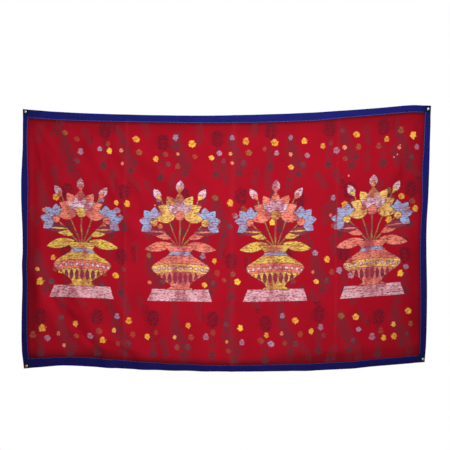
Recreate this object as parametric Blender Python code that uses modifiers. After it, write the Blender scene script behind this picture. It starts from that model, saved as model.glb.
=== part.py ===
"""A painted cotton wall hanging: a red panel bound with four navy strips, held by a tack at each corner.

Metres, +Z up. The front faces -Y and the wall is the plane Y = 0. The origin is the middle of the top edge,
in the plane of the wall. A place on the flat cloth is given as across, from its left edge, and down, from its
top edge.
"""

import math
from collections import namedtuple

import bmesh
import bpy

# The cloth, measured flat
CLOTH_WIDTH = 1.885
CLOTH_HEIGHT = 1.200
TOP_BAND = 0.037
BOTTOM_BAND = 0.035
SIDE_BAND = 0.029

# Each layer of cotton, and the space left between two pieces that touch
SHEET = 0.0010
GAP = 0.0003

# From the middle of the panel's thickness to the middle of a binding's leaf
LAYER_STEP = SHEET + GAP

# The wall touches the back leaf of the binding, so the middle of the panel stands this far off it
CORNER_DEPTH = LAYER_STEP + SHEET / 2

# Where the panel's raw edge ends inside the binding, from the outer edge of the cloth
EDGE_ROOM = 0.0002
PANEL_INSET = SHEET / 2 + LAYER_STEP + EDGE_ROOM

# The corners of the cloth as it hangs
Corner = namedtuple("Corner", "x z")
TOP_LEFT = Corner(-0.946, 0.029)
TOP_RIGHT = Corner(0.946, 0.045)
BOTTOM_LEFT = Corner(-0.941, -1.173)
BOTTOM_RIGHT = Corner(0.916, -1.143)

# Each edge's wander from the straight line between its corners. The share runs from left to right or from
# top to bottom. The offset is down for the top and bottom edges, and to the right for the sides.
EdgePoint = namedtuple("EdgePoint", "share offset")
TOP_EDGE = (
    EdgePoint(0.00, 0.0000),
    EdgePoint(0.09, 0.0150),
    EdgePoint(0.24, 0.0285),
    EdgePoint(0.40, 0.0365),
    EdgePoint(0.50, 0.0370),
    EdgePoint(0.68, 0.0300),
    EdgePoint(0.78, 0.0200),
    EdgePoint(0.88, 0.0075),
    EdgePoint(0.95, -0.0025),
    EdgePoint(1.00, 0.0000),
)
BOTTOM_EDGE = (
    EdgePoint(0.00, 0.0000),
    EdgePoint(0.04, -0.0050),
    EdgePoint(0.10, -0.0110),
    EdgePoint(0.19, -0.0010),
    EdgePoint(0.29, 0.0125),
    EdgePoint(0.40, 0.0215),
    EdgePoint(0.52, 0.0290),
    EdgePoint(0.67, 0.0310),
    EdgePoint(0.79, 0.0260),
    EdgePoint(0.90, 0.0125),
    EdgePoint(1.00, 0.0000),
)
LEFT_EDGE = (
    EdgePoint(0.00, 0.0000),
    EdgePoint(0.13, 0.0010),
    EdgePoint(0.30, -0.0090),
    EdgePoint(0.50, -0.0020),
    EdgePoint(0.64, -0.0020),
    EdgePoint(0.82, -0.0090),
    EdgePoint(0.93, -0.0080),
    EdgePoint(1.00, 0.0000),
)
RIGHT_EDGE = (
    EdgePoint(0.00, 0.0000),
    EdgePoint(0.06, -0.0015),
    EdgePoint(0.33, -0.0025),
    EdgePoint(0.50, -0.0075),
    EdgePoint(0.73, 0.0025),
    EdgePoint(0.94, 0.0035),
    EdgePoint(1.00, 0.0000),
)

# The soft folds, each along a line on the flat cloth. A negative height is a trough.
Fold = namedtuple("Fold", "across down to_across to_down height half_width")
FOLDS = (
    Fold(0.03, 0.03, 0.24, 0.45, 0.013, 0.045),
    Fold(0.17, 0.07, 0.37, 0.45, 0.008, 0.040),
    Fold(0.31, 0.16, 0.52, 0.54, 0.012, 0.042),
    Fold(0.42, 0.15, 0.64, 0.52, 0.007, 0.036),
    Fold(0.52, 0.16, 0.86, 0.47, 0.014, 0.048),
    Fold(0.66, 0.10, 0.93, 0.40, 0.008, 0.040),
    Fold(0.62, 0.05, 0.74, 0.09, -0.007, 0.040),
    Fold(0.04, 0.72, 0.19, 1.04, 0.014, 0.044),
    Fold(0.13, 0.84, 0.26, 1.12, -0.012, 0.038),
    Fold(0.24, 0.84, 0.40, 1.16, 0.013, 0.040),
    Fold(0.30, 1.10, 0.48, 1.15, -0.009, 0.038),
    Fold(0.45, 0.90, 0.56, 1.14, 0.010, 0.042),
    Fold(0.62, 0.92, 0.70, 1.17, 0.008, 0.045),
    Fold(0.82, 0.98, 0.85, 1.17, 0.007, 0.045),
    Fold(1.15, 0.10, 1.08, 0.60, 0.007, 0.050),
    Fold(1.29, 0.08, 1.24, 0.66, 0.008, 0.048),
    Fold(1.44, 0.08, 1.37, 0.50, 0.005, 0.045),
    Fold(1.85, 0.03, 1.66, 0.42, 0.012, 0.045),
    Fold(1.72, 0.16, 1.71, 0.40, 0.007, 0.040),
    Fold(1.79, 0.60, 1.76, 1.02, 0.008, 0.045),
    Fold(1.86, 1.15, 1.70, 0.85, 0.010, 0.042),
    Fold(1.30, 1.00, 1.33, 1.17, 0.007, 0.045),
    Fold(1.52, 0.96, 1.55, 1.17, 0.007, 0.045),
)

# The cloth bellies off the wall in its middle, and lies flat around each tack
BELLY = 0.012
FLAT_REACH = 0.28

# The worn creases left by folding the cloth in four, top to bottom
Crease = namedtuple("Crease", "across height half_width")
CREASES = (
    Crease(0.480, 0.0020, 0.012),
    Crease(0.975, 0.0025, 0.013),
    Crease(1.460, 0.0020, 0.012),
)

# The spacing of the panel's rows and columns
COLUMN_PITCH = 0.046
ROW_PITCH = 0.043

# The tacks: a domed head, and a shank that narrows to a point in the wall
HEAD_RADIUS = 0.0062
HEAD_RISE = 0.0026
RIM_THICKNESS = 0.0006
UNDERSIDE_SHARE = 0.94
DOME_STEPS = 4
SHANK_RADIUS = 0.0010
TAPER_START = 0.0030
POINT_DEPTH = 0.0080
TACK_STEPS = 18
MERGE_DISTANCE = 0.00005

# The underside of each head stands a gap in front of the binding, this far off the wall
TACK_SEAT = CORNER_DEPTH + LAYER_STEP + SHEET / 2 + GAP

# The hole for each tack, cut through every layer
HOLE_RADIUS = SHANK_RADIUS + GAP
HOLE_DEPTH = 0.02

Tack = namedtuple("Tack", "name across down metal")
TACKS = (
    Tack("tack_top_left", 0.012, 0.011, "steel"),
    Tack("tack_top_right", CLOTH_WIDTH - 0.013, 0.016, "steel"),
    Tack("tack_bottom_left", 0.014, CLOTH_HEIGHT - 0.011, "brass"),
    Tack("tack_bottom_right", CLOTH_WIDTH - 0.009, CLOTH_HEIGHT - 0.015, "steel"),
)

# Colour, roughness and metallic value
Finish = namedtuple("Finish", "colour roughness metallic")
FINISHES = {
    "red_cotton": Finish((0.45, 0.008, 0.02), 0.9, 0.0),
    "navy_cotton": Finish((0.012, 0.014, 0.14), 0.9, 0.0),
    "steel": Finish((0.55, 0.56, 0.58), 0.35, 1.0),
    "brass": Finish((0.60, 0.42, 0.16), 0.40, 1.0),
}


def mix(start, end, share):
    """The value a share of the way from start to end."""
    return start + (end - start) * share


def ease(share):
    """A share from 0 to 1, with a soft start and end."""
    share = min(max(share, 0.0), 1.0)
    return share * share * (3.0 - 2.0 * share)


def slope_at(table, index):
    """The slope of a table's curve at one of its points."""
    before = table[max(index - 1, 0)]
    after = table[min(index + 1, len(table) - 1)]
    return (after.offset - before.offset) / (after.share - before.share)


def edge_offset(table, share):
    """The offset at a share along an edge, on a smooth curve through the table's points."""
    index = 0
    while index < len(table) - 2 and share > table[index + 1].share:
        index += 1
    low, high = table[index], table[index + 1]
    span = high.share - low.share
    t = (share - low.share) / span
    rise = ease(t) * (high.offset - low.offset)
    lean_in = t * (1.0 - t) ** 2 * slope_at(table, index)
    lean_out = t * t * (1.0 - t) * slope_at(table, index + 1)
    return low.offset + rise + (lean_in - lean_out) * span


def hang(across, down):
    """Where a point of the flat cloth hangs on the wall, as x and z."""
    s = across / CLOTH_WIDTH
    t = down / CLOTH_HEIGHT
    x = mix(mix(TOP_LEFT.x, TOP_RIGHT.x, s), mix(BOTTOM_LEFT.x, BOTTOM_RIGHT.x, s), t)
    z = mix(mix(TOP_LEFT.z, TOP_RIGHT.z, s), mix(BOTTOM_LEFT.z, BOTTOM_RIGHT.z, s), t)
    x += mix(edge_offset(LEFT_EDGE, t), edge_offset(RIGHT_EDGE, t), s)
    z -= mix(edge_offset(TOP_EDGE, s), edge_offset(BOTTOM_EDGE, s), t)
    return x, z


def fold_height(fold, across, down):
    """The height that one fold adds at a point: a soft ridge that fades out past its ends."""
    run_a = fold.to_across - fold.across
    run_d = fold.to_down - fold.down
    length = math.hypot(run_a, run_d)
    off_a = across - fold.across
    off_d = down - fold.down
    along = (off_a * run_a + off_d * run_d) / length
    aside = (off_a * run_d - off_d * run_a) / length
    past_end = max(-along, along - length, 0.0)
    distance = math.hypot(aside, past_end)
    return fold.height * math.exp(-((distance / fold.half_width) ** 2))


def corner_ease(across, down):
    """0 at the corners of the panel, rising to 1 at a distance from them."""
    to_side = min(across, CLOTH_WIDTH - across) - SIDE_BAND
    to_end = min(down - TOP_BAND, CLOTH_HEIGHT - BOTTOM_BAND - down)
    return ease(math.hypot(to_side, to_end) / FLAT_REACH)


def cloth_height(across, down):
    """How far the cloth stands off the wall. It is the same all the way across a binding."""
    across = min(max(across, SIDE_BAND), CLOTH_WIDTH - SIDE_BAND)
    down = min(max(down, TOP_BAND), CLOTH_HEIGHT - BOTTOM_BAND)
    share_across = (across - SIDE_BAND) / (CLOTH_WIDTH - 2 * SIDE_BAND)
    share_down = (down - TOP_BAND) / (CLOTH_HEIGHT - TOP_BAND - BOTTOM_BAND)
    height = BELLY * math.sin(math.pi * share_across) * math.sin(math.pi * share_down)
    height += sum(fold_height(fold, across, down) for fold in FOLDS)
    for crease in CREASES:
        height += crease.height * math.exp(-(((across - crease.across) / crease.half_width) ** 2))
    return max(height, 0.0) * corner_ease(across, down)


def cloth_point(across, down, forward=0.0):
    """A point of the hung cloth, with forward measured to the front from the middle of the panel."""
    x, z = hang(across, down)
    return (x, -(CORNER_DEPTH + cloth_height(across, down) + forward), z)


def even_stations(start, end, pitch):
    """Stations from start up to, but not at, end."""
    count = max(1, round((end - start) / pitch))
    return [mix(start, end, index / count) for index in range(count)]


def column_stations():
    """The panel's columns between the side bindings, with one on each crease and one at each of its feet."""
    stations = []
    start = SIDE_BAND
    for crease in CREASES:
        stations += even_stations(start, crease.across - crease.half_width, COLUMN_PITCH)
        stations += [crease.across - crease.half_width, crease.across]
        start = crease.across + crease.half_width
    end = CLOTH_WIDTH - SIDE_BAND
    return stations + even_stations(start, end, COLUMN_PITCH) + [end]


def row_stations():
    """The panel's rows between the top and bottom bindings."""
    end = CLOTH_HEIGHT - BOTTOM_BAND
    return even_stations(TOP_BAND, end, ROW_PITCH) + [end]


def add_material(name):
    """A Principled material in one of the finishes."""
    finish = FINISHES[name]
    material = bpy.data.materials.new(name)
    material.use_nodes = True
    shader = material.node_tree.nodes["Principled BSDF"]
    shader.inputs["Base Color"].default_value = (*finish.colour, 1.0)
    shader.inputs["Roughness"].default_value = finish.roughness
    shader.inputs["Metallic"].default_value = finish.metallic
    return material


def add_object(name, mesh, collection):
    """A new object for a mesh, in a collection."""
    piece = bpy.data.objects.new(name, mesh)
    collection.objects.link(piece)
    return piece


def add_sheet(name, columns, rows, place, material, collection):
    """A closed sheet of cloth: a grid, each point of it placed by a function, then given its thickness."""
    x_cells = len(columns) - 1
    y_cells = len(rows) - 1
    grid = bmesh.new()
    bmesh.ops.create_grid(grid, x_segments=x_cells, y_segments=y_cells, size=0.5)
    for vert in grid.verts:
        column = columns[round((vert.co.x + 0.5) * x_cells)]
        row = rows[round((0.5 - vert.co.y) * y_cells)]
        vert.co = place(column, row)
    mesh = bpy.data.meshes.new(name)
    grid.to_mesh(mesh)
    grid.free()
    mesh.materials.append(material)
    mesh.shade_smooth()
    sheet = add_object(name, mesh, collection)
    solidify = sheet.modifiers.new("thickness", "SOLIDIFY")
    solidify.thickness = SHEET
    solidify.offset = 0.0
    return sheet


def binding_section(band):
    """A folded strip's section: front leaf, fold and back leaf, as inset from the cloth's edge and forward."""
    edge = SHEET / 2
    turn = edge + LAYER_STEP
    return (
        (band, LAYER_STEP),
        (turn, LAYER_STEP),
        (edge, LAYER_STEP / 2),
        (edge, -LAYER_STEP / 2),
        (turn, -LAYER_STEP),
        (band, -LAYER_STEP),
    )


def add_panel(material, collection):
    """The red panel, whose raw edge ends inside the binding."""
    columns = [PANEL_INSET] + column_stations() + [CLOTH_WIDTH - PANEL_INSET]
    rows = [PANEL_INSET] + row_stations() + [CLOTH_HEIGHT - PANEL_INSET]
    return add_sheet("panel", columns, rows, cloth_point, material, collection)


def add_bindings(material, collection):
    """The four strips. The side ones run full height, and the top and bottom ones end against them."""
    columns = column_stations()
    columns[0] += GAP
    columns[-1] -= GAP
    rows = [0.0] + row_stations() + [CLOTH_HEIGHT]

    def top(across, point):
        return cloth_point(across, point[0], point[1])

    def bottom(across, point):
        return cloth_point(across, CLOTH_HEIGHT - point[0], point[1])

    def left(down, point):
        return cloth_point(point[0], down, point[1])

    def right(down, point):
        return cloth_point(CLOTH_WIDTH - point[0], down, point[1])

    for name, stations, band, place in (
        ("binding_top", columns, TOP_BAND, top),
        ("binding_bottom", columns, BOTTOM_BAND, bottom),
        ("binding_left", rows, SIDE_BAND, left),
        ("binding_right", rows, SIDE_BAND, right),
    ):
        add_sheet(name, stations, binding_section(band), place, material, collection)


def tack_profile():
    """A tack's outer side from the top of its dome to its point, as radius and height above the cloth."""
    dome = []
    for step in range(DOME_STEPS + 1):
        angle = math.pi / 2 * step / DOME_STEPS
        height = RIM_THICKNESS + (HEAD_RISE - RIM_THICKNESS) * math.cos(angle)
        dome.append((HEAD_RADIUS * math.sin(angle), height))
    shank = [
        (HEAD_RADIUS * UNDERSIDE_SHARE, 0.0),
        (SHANK_RADIUS, 0.0),
        (SHANK_RADIUS, -TACK_SEAT - TAPER_START),
        (0.0, -TACK_SEAT - POINT_DEPTH),
    ]
    return dome + shank


def add_tack(tack, material, collection):
    """One tack, turned about its shank, with its head just in front of the binding."""
    mesh = bpy.data.meshes.new(tack.name)
    outline = bmesh.new()
    verts = [outline.verts.new((radius, 0.0, height)) for radius, height in tack_profile()]
    for start, end in zip(verts, verts[1:]):
        outline.edges.new((start, end))
    outline.to_mesh(mesh)
    outline.free()
    mesh.materials.append(material)
    piece = add_object(tack.name, mesh, collection)
    screw = piece.modifiers.new("turn", "SCREW")
    screw.steps = TACK_STEPS
    screw.render_steps = TACK_STEPS
    screw.use_merge_vertices = True
    screw.merge_threshold = MERGE_DISTANCE
    screw.use_smooth_shade = True
    x, z = hang(tack.across, tack.down)
    piece.location = (x, -TACK_SEAT, z)
    piece.rotation_euler = (math.pi / 2, 0.0, 0.0)
    return piece


def add_hole_cutter(tack, collection):
    """A rod that cuts the hole for one tack through every layer."""
    rod = bmesh.new()
    bmesh.ops.create_cone(
        rod,
        cap_ends=True,
        segments=TACK_STEPS,
        radius1=HOLE_RADIUS,
        radius2=HOLE_RADIUS,
        depth=HOLE_DEPTH,
    )
    mesh = bpy.data.meshes.new(tack.name + "_hole")
    rod.to_mesh(mesh)
    rod.free()
    cutter = add_object(tack.name + "_hole", mesh, collection)
    x, z = hang(tack.across, tack.down)
    cutter.location = (x, -CORNER_DEPTH, z)
    cutter.rotation_euler = (math.pi / 2, 0.0, 0.0)
    cutter.hide_render = True
    cutter.display_type = "WIRE"
    return cutter


def cut(piece, cutter):
    """Cut a hole in a piece."""
    boolean = piece.modifiers.new(cutter.name, "BOOLEAN")
    boolean.operation = "DIFFERENCE"
    boolean.object = cutter


def add_collection(name):
    """A new collection in the scene."""
    collection = bpy.data.collections.new(name)
    bpy.context.scene.collection.children.link(collection)
    return collection


def main():
    for leftover in list(bpy.data.objects):
        bpy.data.objects.remove(leftover)
    hanging = add_collection("wall_hanging")
    cutters = add_collection("cutters")
    materials = {name: add_material(name) for name in FINISHES}
    panel = add_panel(materials["red_cotton"], hanging)
    add_bindings(materials["navy_cotton"], hanging)
    for tack in TACKS:
        add_tack(tack, materials[tack.metal], hanging)
        cutter = add_hole_cutter(tack, cutters)
        cut(panel, cutter)
        side = "left" if tack.across < CLOTH_WIDTH / 2 else "right"
        cut(hanging.objects["binding_" + side], cutter)


main()
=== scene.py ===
"""The looks of a painted red cotton wall hanging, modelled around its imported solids.

The file is laid out as a Blender add-on and is run as a script. Lengths are metres, +Z is up and the painted
face looks along -Y. A place on the flat cloth is given as across, from its left edge, and down, from its top
edge.
"""

import math
import random
from collections import namedtuple
from functools import reduce

import bmesh
import bpy
import numpy as np
from bpy.props import FloatProperty, FloatVectorProperty, PointerProperty
from mathutils import Matrix, Vector, noise


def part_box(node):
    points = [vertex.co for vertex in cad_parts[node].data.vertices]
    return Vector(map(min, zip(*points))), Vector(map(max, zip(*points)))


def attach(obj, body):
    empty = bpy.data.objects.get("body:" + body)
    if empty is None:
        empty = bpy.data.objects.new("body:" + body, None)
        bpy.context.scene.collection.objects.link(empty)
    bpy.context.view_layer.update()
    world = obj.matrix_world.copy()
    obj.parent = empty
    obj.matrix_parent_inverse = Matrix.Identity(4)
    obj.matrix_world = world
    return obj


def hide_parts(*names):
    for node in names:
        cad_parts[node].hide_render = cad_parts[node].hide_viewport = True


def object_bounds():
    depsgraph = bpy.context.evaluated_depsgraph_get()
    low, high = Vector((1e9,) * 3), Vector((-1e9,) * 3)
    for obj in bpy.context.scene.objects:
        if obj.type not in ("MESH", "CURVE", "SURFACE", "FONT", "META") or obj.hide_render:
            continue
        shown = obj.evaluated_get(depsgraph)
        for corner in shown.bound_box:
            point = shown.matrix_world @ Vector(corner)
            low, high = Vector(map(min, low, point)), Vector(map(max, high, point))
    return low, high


bl_info = {
    "name": "Painted cloth wall hanging",
    "version": (1, 0, 0),
    "blender": (4, 5, 0),
    "location": "View3D > Sidebar > Hanging",
    "description": "Builds the cloth, binding, sewing and tacks of a painted wall hanging",
    "category": "Add Mesh",
}

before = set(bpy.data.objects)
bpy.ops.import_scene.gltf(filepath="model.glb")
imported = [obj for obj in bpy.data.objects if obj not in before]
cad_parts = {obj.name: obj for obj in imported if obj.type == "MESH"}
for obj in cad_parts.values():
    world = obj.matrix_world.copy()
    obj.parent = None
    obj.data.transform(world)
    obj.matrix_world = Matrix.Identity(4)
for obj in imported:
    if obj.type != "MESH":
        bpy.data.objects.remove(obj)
CAD_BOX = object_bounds()
BODY = "root"
UPRIGHT = Matrix.Rotation(math.pi / 2, 3, "X")
LEVEL_SIDES = ("top", "bottom")
UPRIGHT_SIDES = ("left", "right")

# The cloth measured flat, and the layers of its solids
CLOTH_WIDTH = 1.885
CLOTH_HEIGHT = 1.200
TOP_BAND = 0.037
BOTTOM_BAND = 0.035
SIDE_BAND = 0.029
CORNER_DEPTH = 0.0018
PANEL_INSET = 0.0020

# The corners of the cloth as it hangs
Corner = namedtuple("Corner", "x z")
TOP_LEFT = Corner(-0.946, 0.029)
TOP_RIGHT = Corner(0.946, 0.045)
BOTTOM_LEFT = Corner(-0.941, -1.173)
BOTTOM_RIGHT = Corner(0.916, -1.143)

# Each edge's wander from the straight line between its corners, at shares along it: down for the top and
# bottom edges, and to the right for the sides
Curve = namedtuple("Curve", "shares offsets")
TOP_EDGE = Curve(
    (0.00, 0.09, 0.24, 0.40, 0.50, 0.68, 0.78, 0.88, 0.95, 1.00),
    (0.0000, 0.0150, 0.0285, 0.0365, 0.0370, 0.0300, 0.0200, 0.0075, -0.0025, 0.0000),
)
BOTTOM_EDGE = Curve(
    (0.00, 0.04, 0.10, 0.19, 0.29, 0.40, 0.52, 0.67, 0.79, 0.90, 1.00),
    (0.0000, -0.0050, -0.0110, -0.0010, 0.0125, 0.0215, 0.0290, 0.0310, 0.0260, 0.0125, 0.0000),
)
LEFT_EDGE = Curve(
    (0.00, 0.13, 0.30, 0.50, 0.64, 0.82, 0.93, 1.00),
    (0.0000, 0.0010, -0.0090, -0.0020, -0.0020, -0.0090, -0.0080, 0.0000),
)
RIGHT_EDGE = Curve(
    (0.00, 0.06, 0.33, 0.50, 0.73, 0.94, 1.00),
    (0.0000, -0.0015, -0.0025, -0.0075, 0.0025, 0.0035, 0.0000),
)

# The binding's width at shares along each side, from the left or the top
BAND_WIDTHS = {
    "top": Curve(
        (0.00, 0.10, 0.30, 0.50, 0.72, 0.82, 1.00),
        (0.039, 0.039, 0.035, 0.037, 0.039, 0.034, 0.034),
    ),
    "bottom": Curve(
        (0.00, 0.09, 0.15, 0.28, 0.40, 0.50, 0.70, 1.00),
        (0.046, 0.041, 0.044, 0.039, 0.033, 0.031, 0.034, 0.035),
    ),
    "left": Curve(
        (0.00, 0.10, 0.16, 0.28, 0.36, 0.48, 0.75, 1.00),
        (0.027, 0.022, 0.024, 0.034, 0.032, 0.025, 0.026, 0.031),
    ),
    "right": Curve(
        (0.00, 0.16, 0.24, 0.40, 0.62, 1.00),
        (0.027, 0.030, 0.034, 0.028, 0.032, 0.029),
    ),
}

# The soft folds of the solids, each along a line on the flat cloth. A negative height is a trough.
Fold = namedtuple("Fold", "across down to_across to_down height half_width")
FOLDS = (
    Fold(0.03, 0.03, 0.24, 0.45, 0.013, 0.045),
    Fold(0.17, 0.07, 0.37, 0.45, 0.008, 0.040),
    Fold(0.31, 0.16, 0.52, 0.54, 0.012, 0.042),
    Fold(0.42, 0.15, 0.64, 0.52, 0.007, 0.036),
    Fold(0.52, 0.16, 0.86, 0.47, 0.014, 0.048),
    Fold(0.66, 0.10, 0.93, 0.40, 0.008, 0.040),
    Fold(0.62, 0.05, 0.74, 0.09, -0.007, 0.040),
    Fold(0.04, 0.72, 0.19, 1.04, 0.014, 0.044),
    Fold(0.13, 0.84, 0.26, 1.12, -0.012, 0.038),
    Fold(0.24, 0.84, 0.40, 1.16, 0.013, 0.040),
    Fold(0.30, 1.10, 0.48, 1.15, -0.009, 0.038),
    Fold(0.45, 0.90, 0.56, 1.14, 0.010, 0.042),
    Fold(0.62, 0.92, 0.70, 1.17, 0.008, 0.045),
    Fold(0.82, 0.98, 0.85, 1.17, 0.007, 0.045),
    Fold(1.15, 0.10, 1.08, 0.60, 0.007, 0.050),
    Fold(1.29, 0.08, 1.24, 0.66, 0.008, 0.048),
    Fold(1.44, 0.08, 1.37, 0.50, 0.005, 0.045),
    Fold(1.85, 0.03, 1.66, 0.42, 0.012, 0.045),
    Fold(1.72, 0.16, 1.71, 0.40, 0.007, 0.040),
    Fold(1.79, 0.60, 1.76, 1.02, 0.008, 0.045),
    Fold(1.86, 1.15, 1.70, 0.85, 0.010, 0.042),
    Fold(1.30, 1.00, 1.33, 1.17, 0.007, 0.045),
    Fold(1.52, 0.96, 1.55, 1.17, 0.007, 0.045),
)
BELLY = 0.012
FLAT_REACH = 0.28

# The worn creases left by folding the cloth in four
Crease = namedtuple("Crease", "across height half_width wear")
CREASES = (
    Crease(0.480, 0.0020, 0.012, 0.007),
    Crease(0.975, 0.0025, 0.013, 0.014),
    Crease(1.460, 0.0020, 0.012, 0.006),
)

# Shorter and sharper creases, which only the visible cloth has
FINE_REACH = 0.05
FINE_FOLDS = (
    Fold(0.05, 0.05, 0.16, 0.20, 0.0030, 0.012),
    Fold(0.08, 0.04, 0.26, 0.13, 0.0025, 0.012),
    Fold(0.05, 0.08, 0.10, 0.28, 0.0025, 0.010),
    Fold(1.83, 0.06, 1.76, 0.20, 0.0030, 0.012),
    Fold(1.80, 0.05, 1.62, 0.12, 0.0022, 0.011),
    Fold(1.730, 0.19, 1.742, 0.31, 0.0038, 0.011),
    Fold(0.07, 1.13, 0.20, 1.03, 0.0028, 0.012),
    Fold(0.33, 1.125, 0.46, 1.145, -0.0035, 0.013),
    Fold(0.50, 0.98, 0.55, 1.05, -0.0030, 0.014),
    Fold(0.58, 0.17, 0.75, 0.33, -0.0028, 0.016),
    Fold(0.36, 0.30, 0.46, 0.47, -0.0028, 0.015),
    Fold(1.05, 0.72, 1.02, 1.00, 0.0018, 0.012),
    Fold(1.81, 1.12, 1.71, 0.99, 0.0028, 0.012),
    Fold(1.62, 0.50, 1.60, 0.70, 0.0016, 0.012),
    Fold(1.20, 0.06, 1.19, 0.20, 0.0018, 0.012),
    Fold(0.90, 0.05, 0.91, 0.18, 0.0018, 0.012),
    Fold(0.39, 1.055, 0.51, 1.105, 0.0065, 0.020),
    Fold(0.165, 0.875, 0.25, 0.95, 0.0060, 0.020),
    Fold(0.085, 0.30, 0.085, 1.02, 0.0050, 0.028),
    Fold(0.41, 0.235, 0.515, 0.44, 0.0060, 0.021),
    Fold(0.64, 0.046, 0.76, 0.050, 0.0035, 0.009),
    Fold(0.22, 1.02, 0.30, 1.10, 0.0045, 0.018),
)

# Slow unevenness all over, and the small puckers that the sewing draws beside the binding
RIPPLE_SIZE = 0.09
PUCKER_SIZE = 0.022
PUCKER_REACH = 0.022

# The roll where the cloth meets the binding along the bottom and the left side
ROLL_INSET = 0.0085
ROLL_HALF_WIDTH = 0.0065
ROLL_SIZE = 0.110

# How much painted shade darkens the ground beside the binding: close to its bottom strip, and in broader
# bands
BottomShades = namedtuple("BottomShades", "across near broad")
BOTTOM_SHADES = BottomShades(
    (0.03, 0.24, 0.37, 0.50, 0.70, 1.12, 1.21, 1.34, 1.48, 1.62, 1.85),
    (0.55, 0.60, 0.55, 0.68, 0.68, 0.70, 0.45, 0.30, 0.15, 0.10, 0.10),
    (0.20, 0.12, 0.48, 0.12, 0.00, 0.00, 0.28, 0.45, 0.50, 0.30, 0.28),
)
SideShades = namedtuple("SideShades", "down left right")
SIDE_SHADES = SideShades(
    (0.10, 0.40, 0.55, 0.70, 0.85, 1.00, 1.12),
    (0.07, 0.04, 0.25, 0.44, 0.42, 0.48, 0.32),
    (0.10, 0.14, 0.04, 0.26, 0.12, 0.34, 0.10),
)
TOP_SHADE = 0.14
NEAR_REACH = 0.0218
BROAD_REACH = 0.050

# How much painted shade darkens the ground close to the other strips
EdgeShade = namedtuple("EdgeShade", "left top right")
EDGE_SHADE = EdgeShade(0.30, 0.66, 0.40)
EDGE_REACH = 0.0105

# The visible cloth: the spacing of its points, and the thickness of its layers
CLOTH_COLUMNS = 264
CLOTH_ROWS = 168
CLOTH_THICKNESS = 0.0006
STRIP_THICKNESS = 0.0005
INNER_STEP = 0.0009
OUTER_STEP = 0.0015
LEAF_SHARES = (1.0, 0.94, 0.66, 0.33)
FOLD_STEPS = 6

# The cloth's map holds its front above its back, in a square with sides this long
MAP_SIDE = 2.46
BACK_SHIFT = 1.23
STRIP_MAP_SIDE = 1.95
MAP_NAME = "OFBake"
GRAIN_ROUGHNESS = 0.55

# The printed plants stand in rows, with tall and narrow ones by turns. Each is given by its stem's foot.
PrintRow = namedtuple("PrintRow", "down first_tall first_narrow pitch")
PRINT_ROWS = (
    PrintRow(0.277, 0.231, 0.373, 0.2610),
    PrintRow(0.560, 0.156, 0.222, 0.2620),
    PrintRow(0.848, 0.100, 0.196, 0.2620),
    PrintRow(1.130, 0.229, 0.100, 0.2580),
)
PLANT_SEED = 11
PLANT_MARGIN = 0.070
PLANT_JITTER = Vector((0.014, 0.026))
TALL_REACH = 0.076
NARROW_REACH = 0.050
PLANT_RISE = 0.125
PLANT_MIDDLE = 0.095

# Blossoms beside each kind of plant: right of and above its foot, and the paints to choose from
Blossom = namedtuple("Blossom", "right up paints")
TALL_BLOSSOMS = (
    Blossom(-0.040, 0.176, ("lilac", "none", "olive", "slate")),
    Blossom(0.024, 0.154, ("yellow", "yellow", "rust", "yellow")),
    Blossom(-0.042, 0.097, ("coral", "amber", "none", "coral")),
    Blossom(0.037, 0.094, ("rust", "lilac", "lilac", "olive")),
    Blossom(-0.033, 0.046, ("rust", "yellow", "none", "coral")),
    Blossom(0.020, 0.049, ("slate", "slate", "slate", "none")),
)
NARROW_BLOSSOMS = (
    Blossom(0.010, 0.111, ("yellow", "slate", "lilac", "rust")),
    Blossom(-0.028, 0.088, ("rust", "yellow", "yellow", "lilac")),
    Blossom(0.026, 0.071, ("lilac", "none", "slate", "yellow")),
)
Paint = namedtuple("Paint", "colour cover radius")
BLOSSOM_PAINTS = {
    "yellow": Paint((255, 192, 70), 1.00, 0.0158),
    "amber": Paint((255, 184, 98), 0.95, 0.0105),
    "lilac": Paint((180, 164, 196), 0.70, 0.0145),
    "coral": Paint((255, 152, 112), 0.92, 0.0100),
    "rust": Paint((166, 100, 72), 0.50, 0.0145),
    "olive": Paint((150, 122, 66), 0.60, 0.0140),
    "slate": Paint((84, 78, 92), 0.60, 0.0140),
    "speck": Paint((246, 176, 180), 0.90, 0.0042),
}
BLOSSOM_SEED = 23
BLOSSOM_SLIP = 0.007
BLOSSOM_SIZES = (0.78, 1.12)
SPECK_SIZES = (0.7, 1.2)
COVER_SHARES = (0.64, 1.0)
OWN_PAINT_CHANCE = 0.7
SPECKS = ((1.744, 0.182), (1.731, 0.226), (1.716, 0.236), (1.236, 0.186), (0.620, 0.425), (1.512, 0.305))

# Small fern sprays fill in between the plants
FERN_SEED = 5
FERN_COUNT = 68
FERN_MARGIN = 0.060
FERN_REACH = Vector((0.034, 0.060))
FERN_LEAN = 0.6
FERN_INK = (0.50, 0.90)
FERN_CHOICES = 24

# The printed shapes. A growth runs from its foot to its tip: a leaf, a stem or an outline. Pairs of leaves
# have the height of the first pair and the pitch from one pair to the next.
Growth = namedtuple("Growth", "right up degrees length width")
Pairs = namedtuple("Pairs", "first pitch degrees length width")
Sway = namedtuple("Sway", "waves reach bend lean")
Spot = namedtuple("Spot", "right up radius")
TALL_SWAY = Sway(40.0, 0.007, 0.9, 0.10)
TALL_STEM_HALF = 0.0018
TALL_TOP = 0.178
TALL_LEAVES = (Pairs(0.012, 0.0250, 36, 0.027, 0.0115), Pairs(0.001, 0.0250, 62, 0.017, 0.0060))
TALL_LEAF_BAND = (0.022, 0.188)
TALL_OUTLINE = Growth(0.0, -0.060, 90, 0.264, 0.070)
TALL_CROWN = Growth(0.0, 0.172, 90, 0.030, 0.013)
TALL_HAZE = Growth(0.0, -0.040, 90, 0.240, 0.078)
DOT_PITCH = Vector((0.0160, 0.0200))
DOT_SLANT = 0.35
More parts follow.
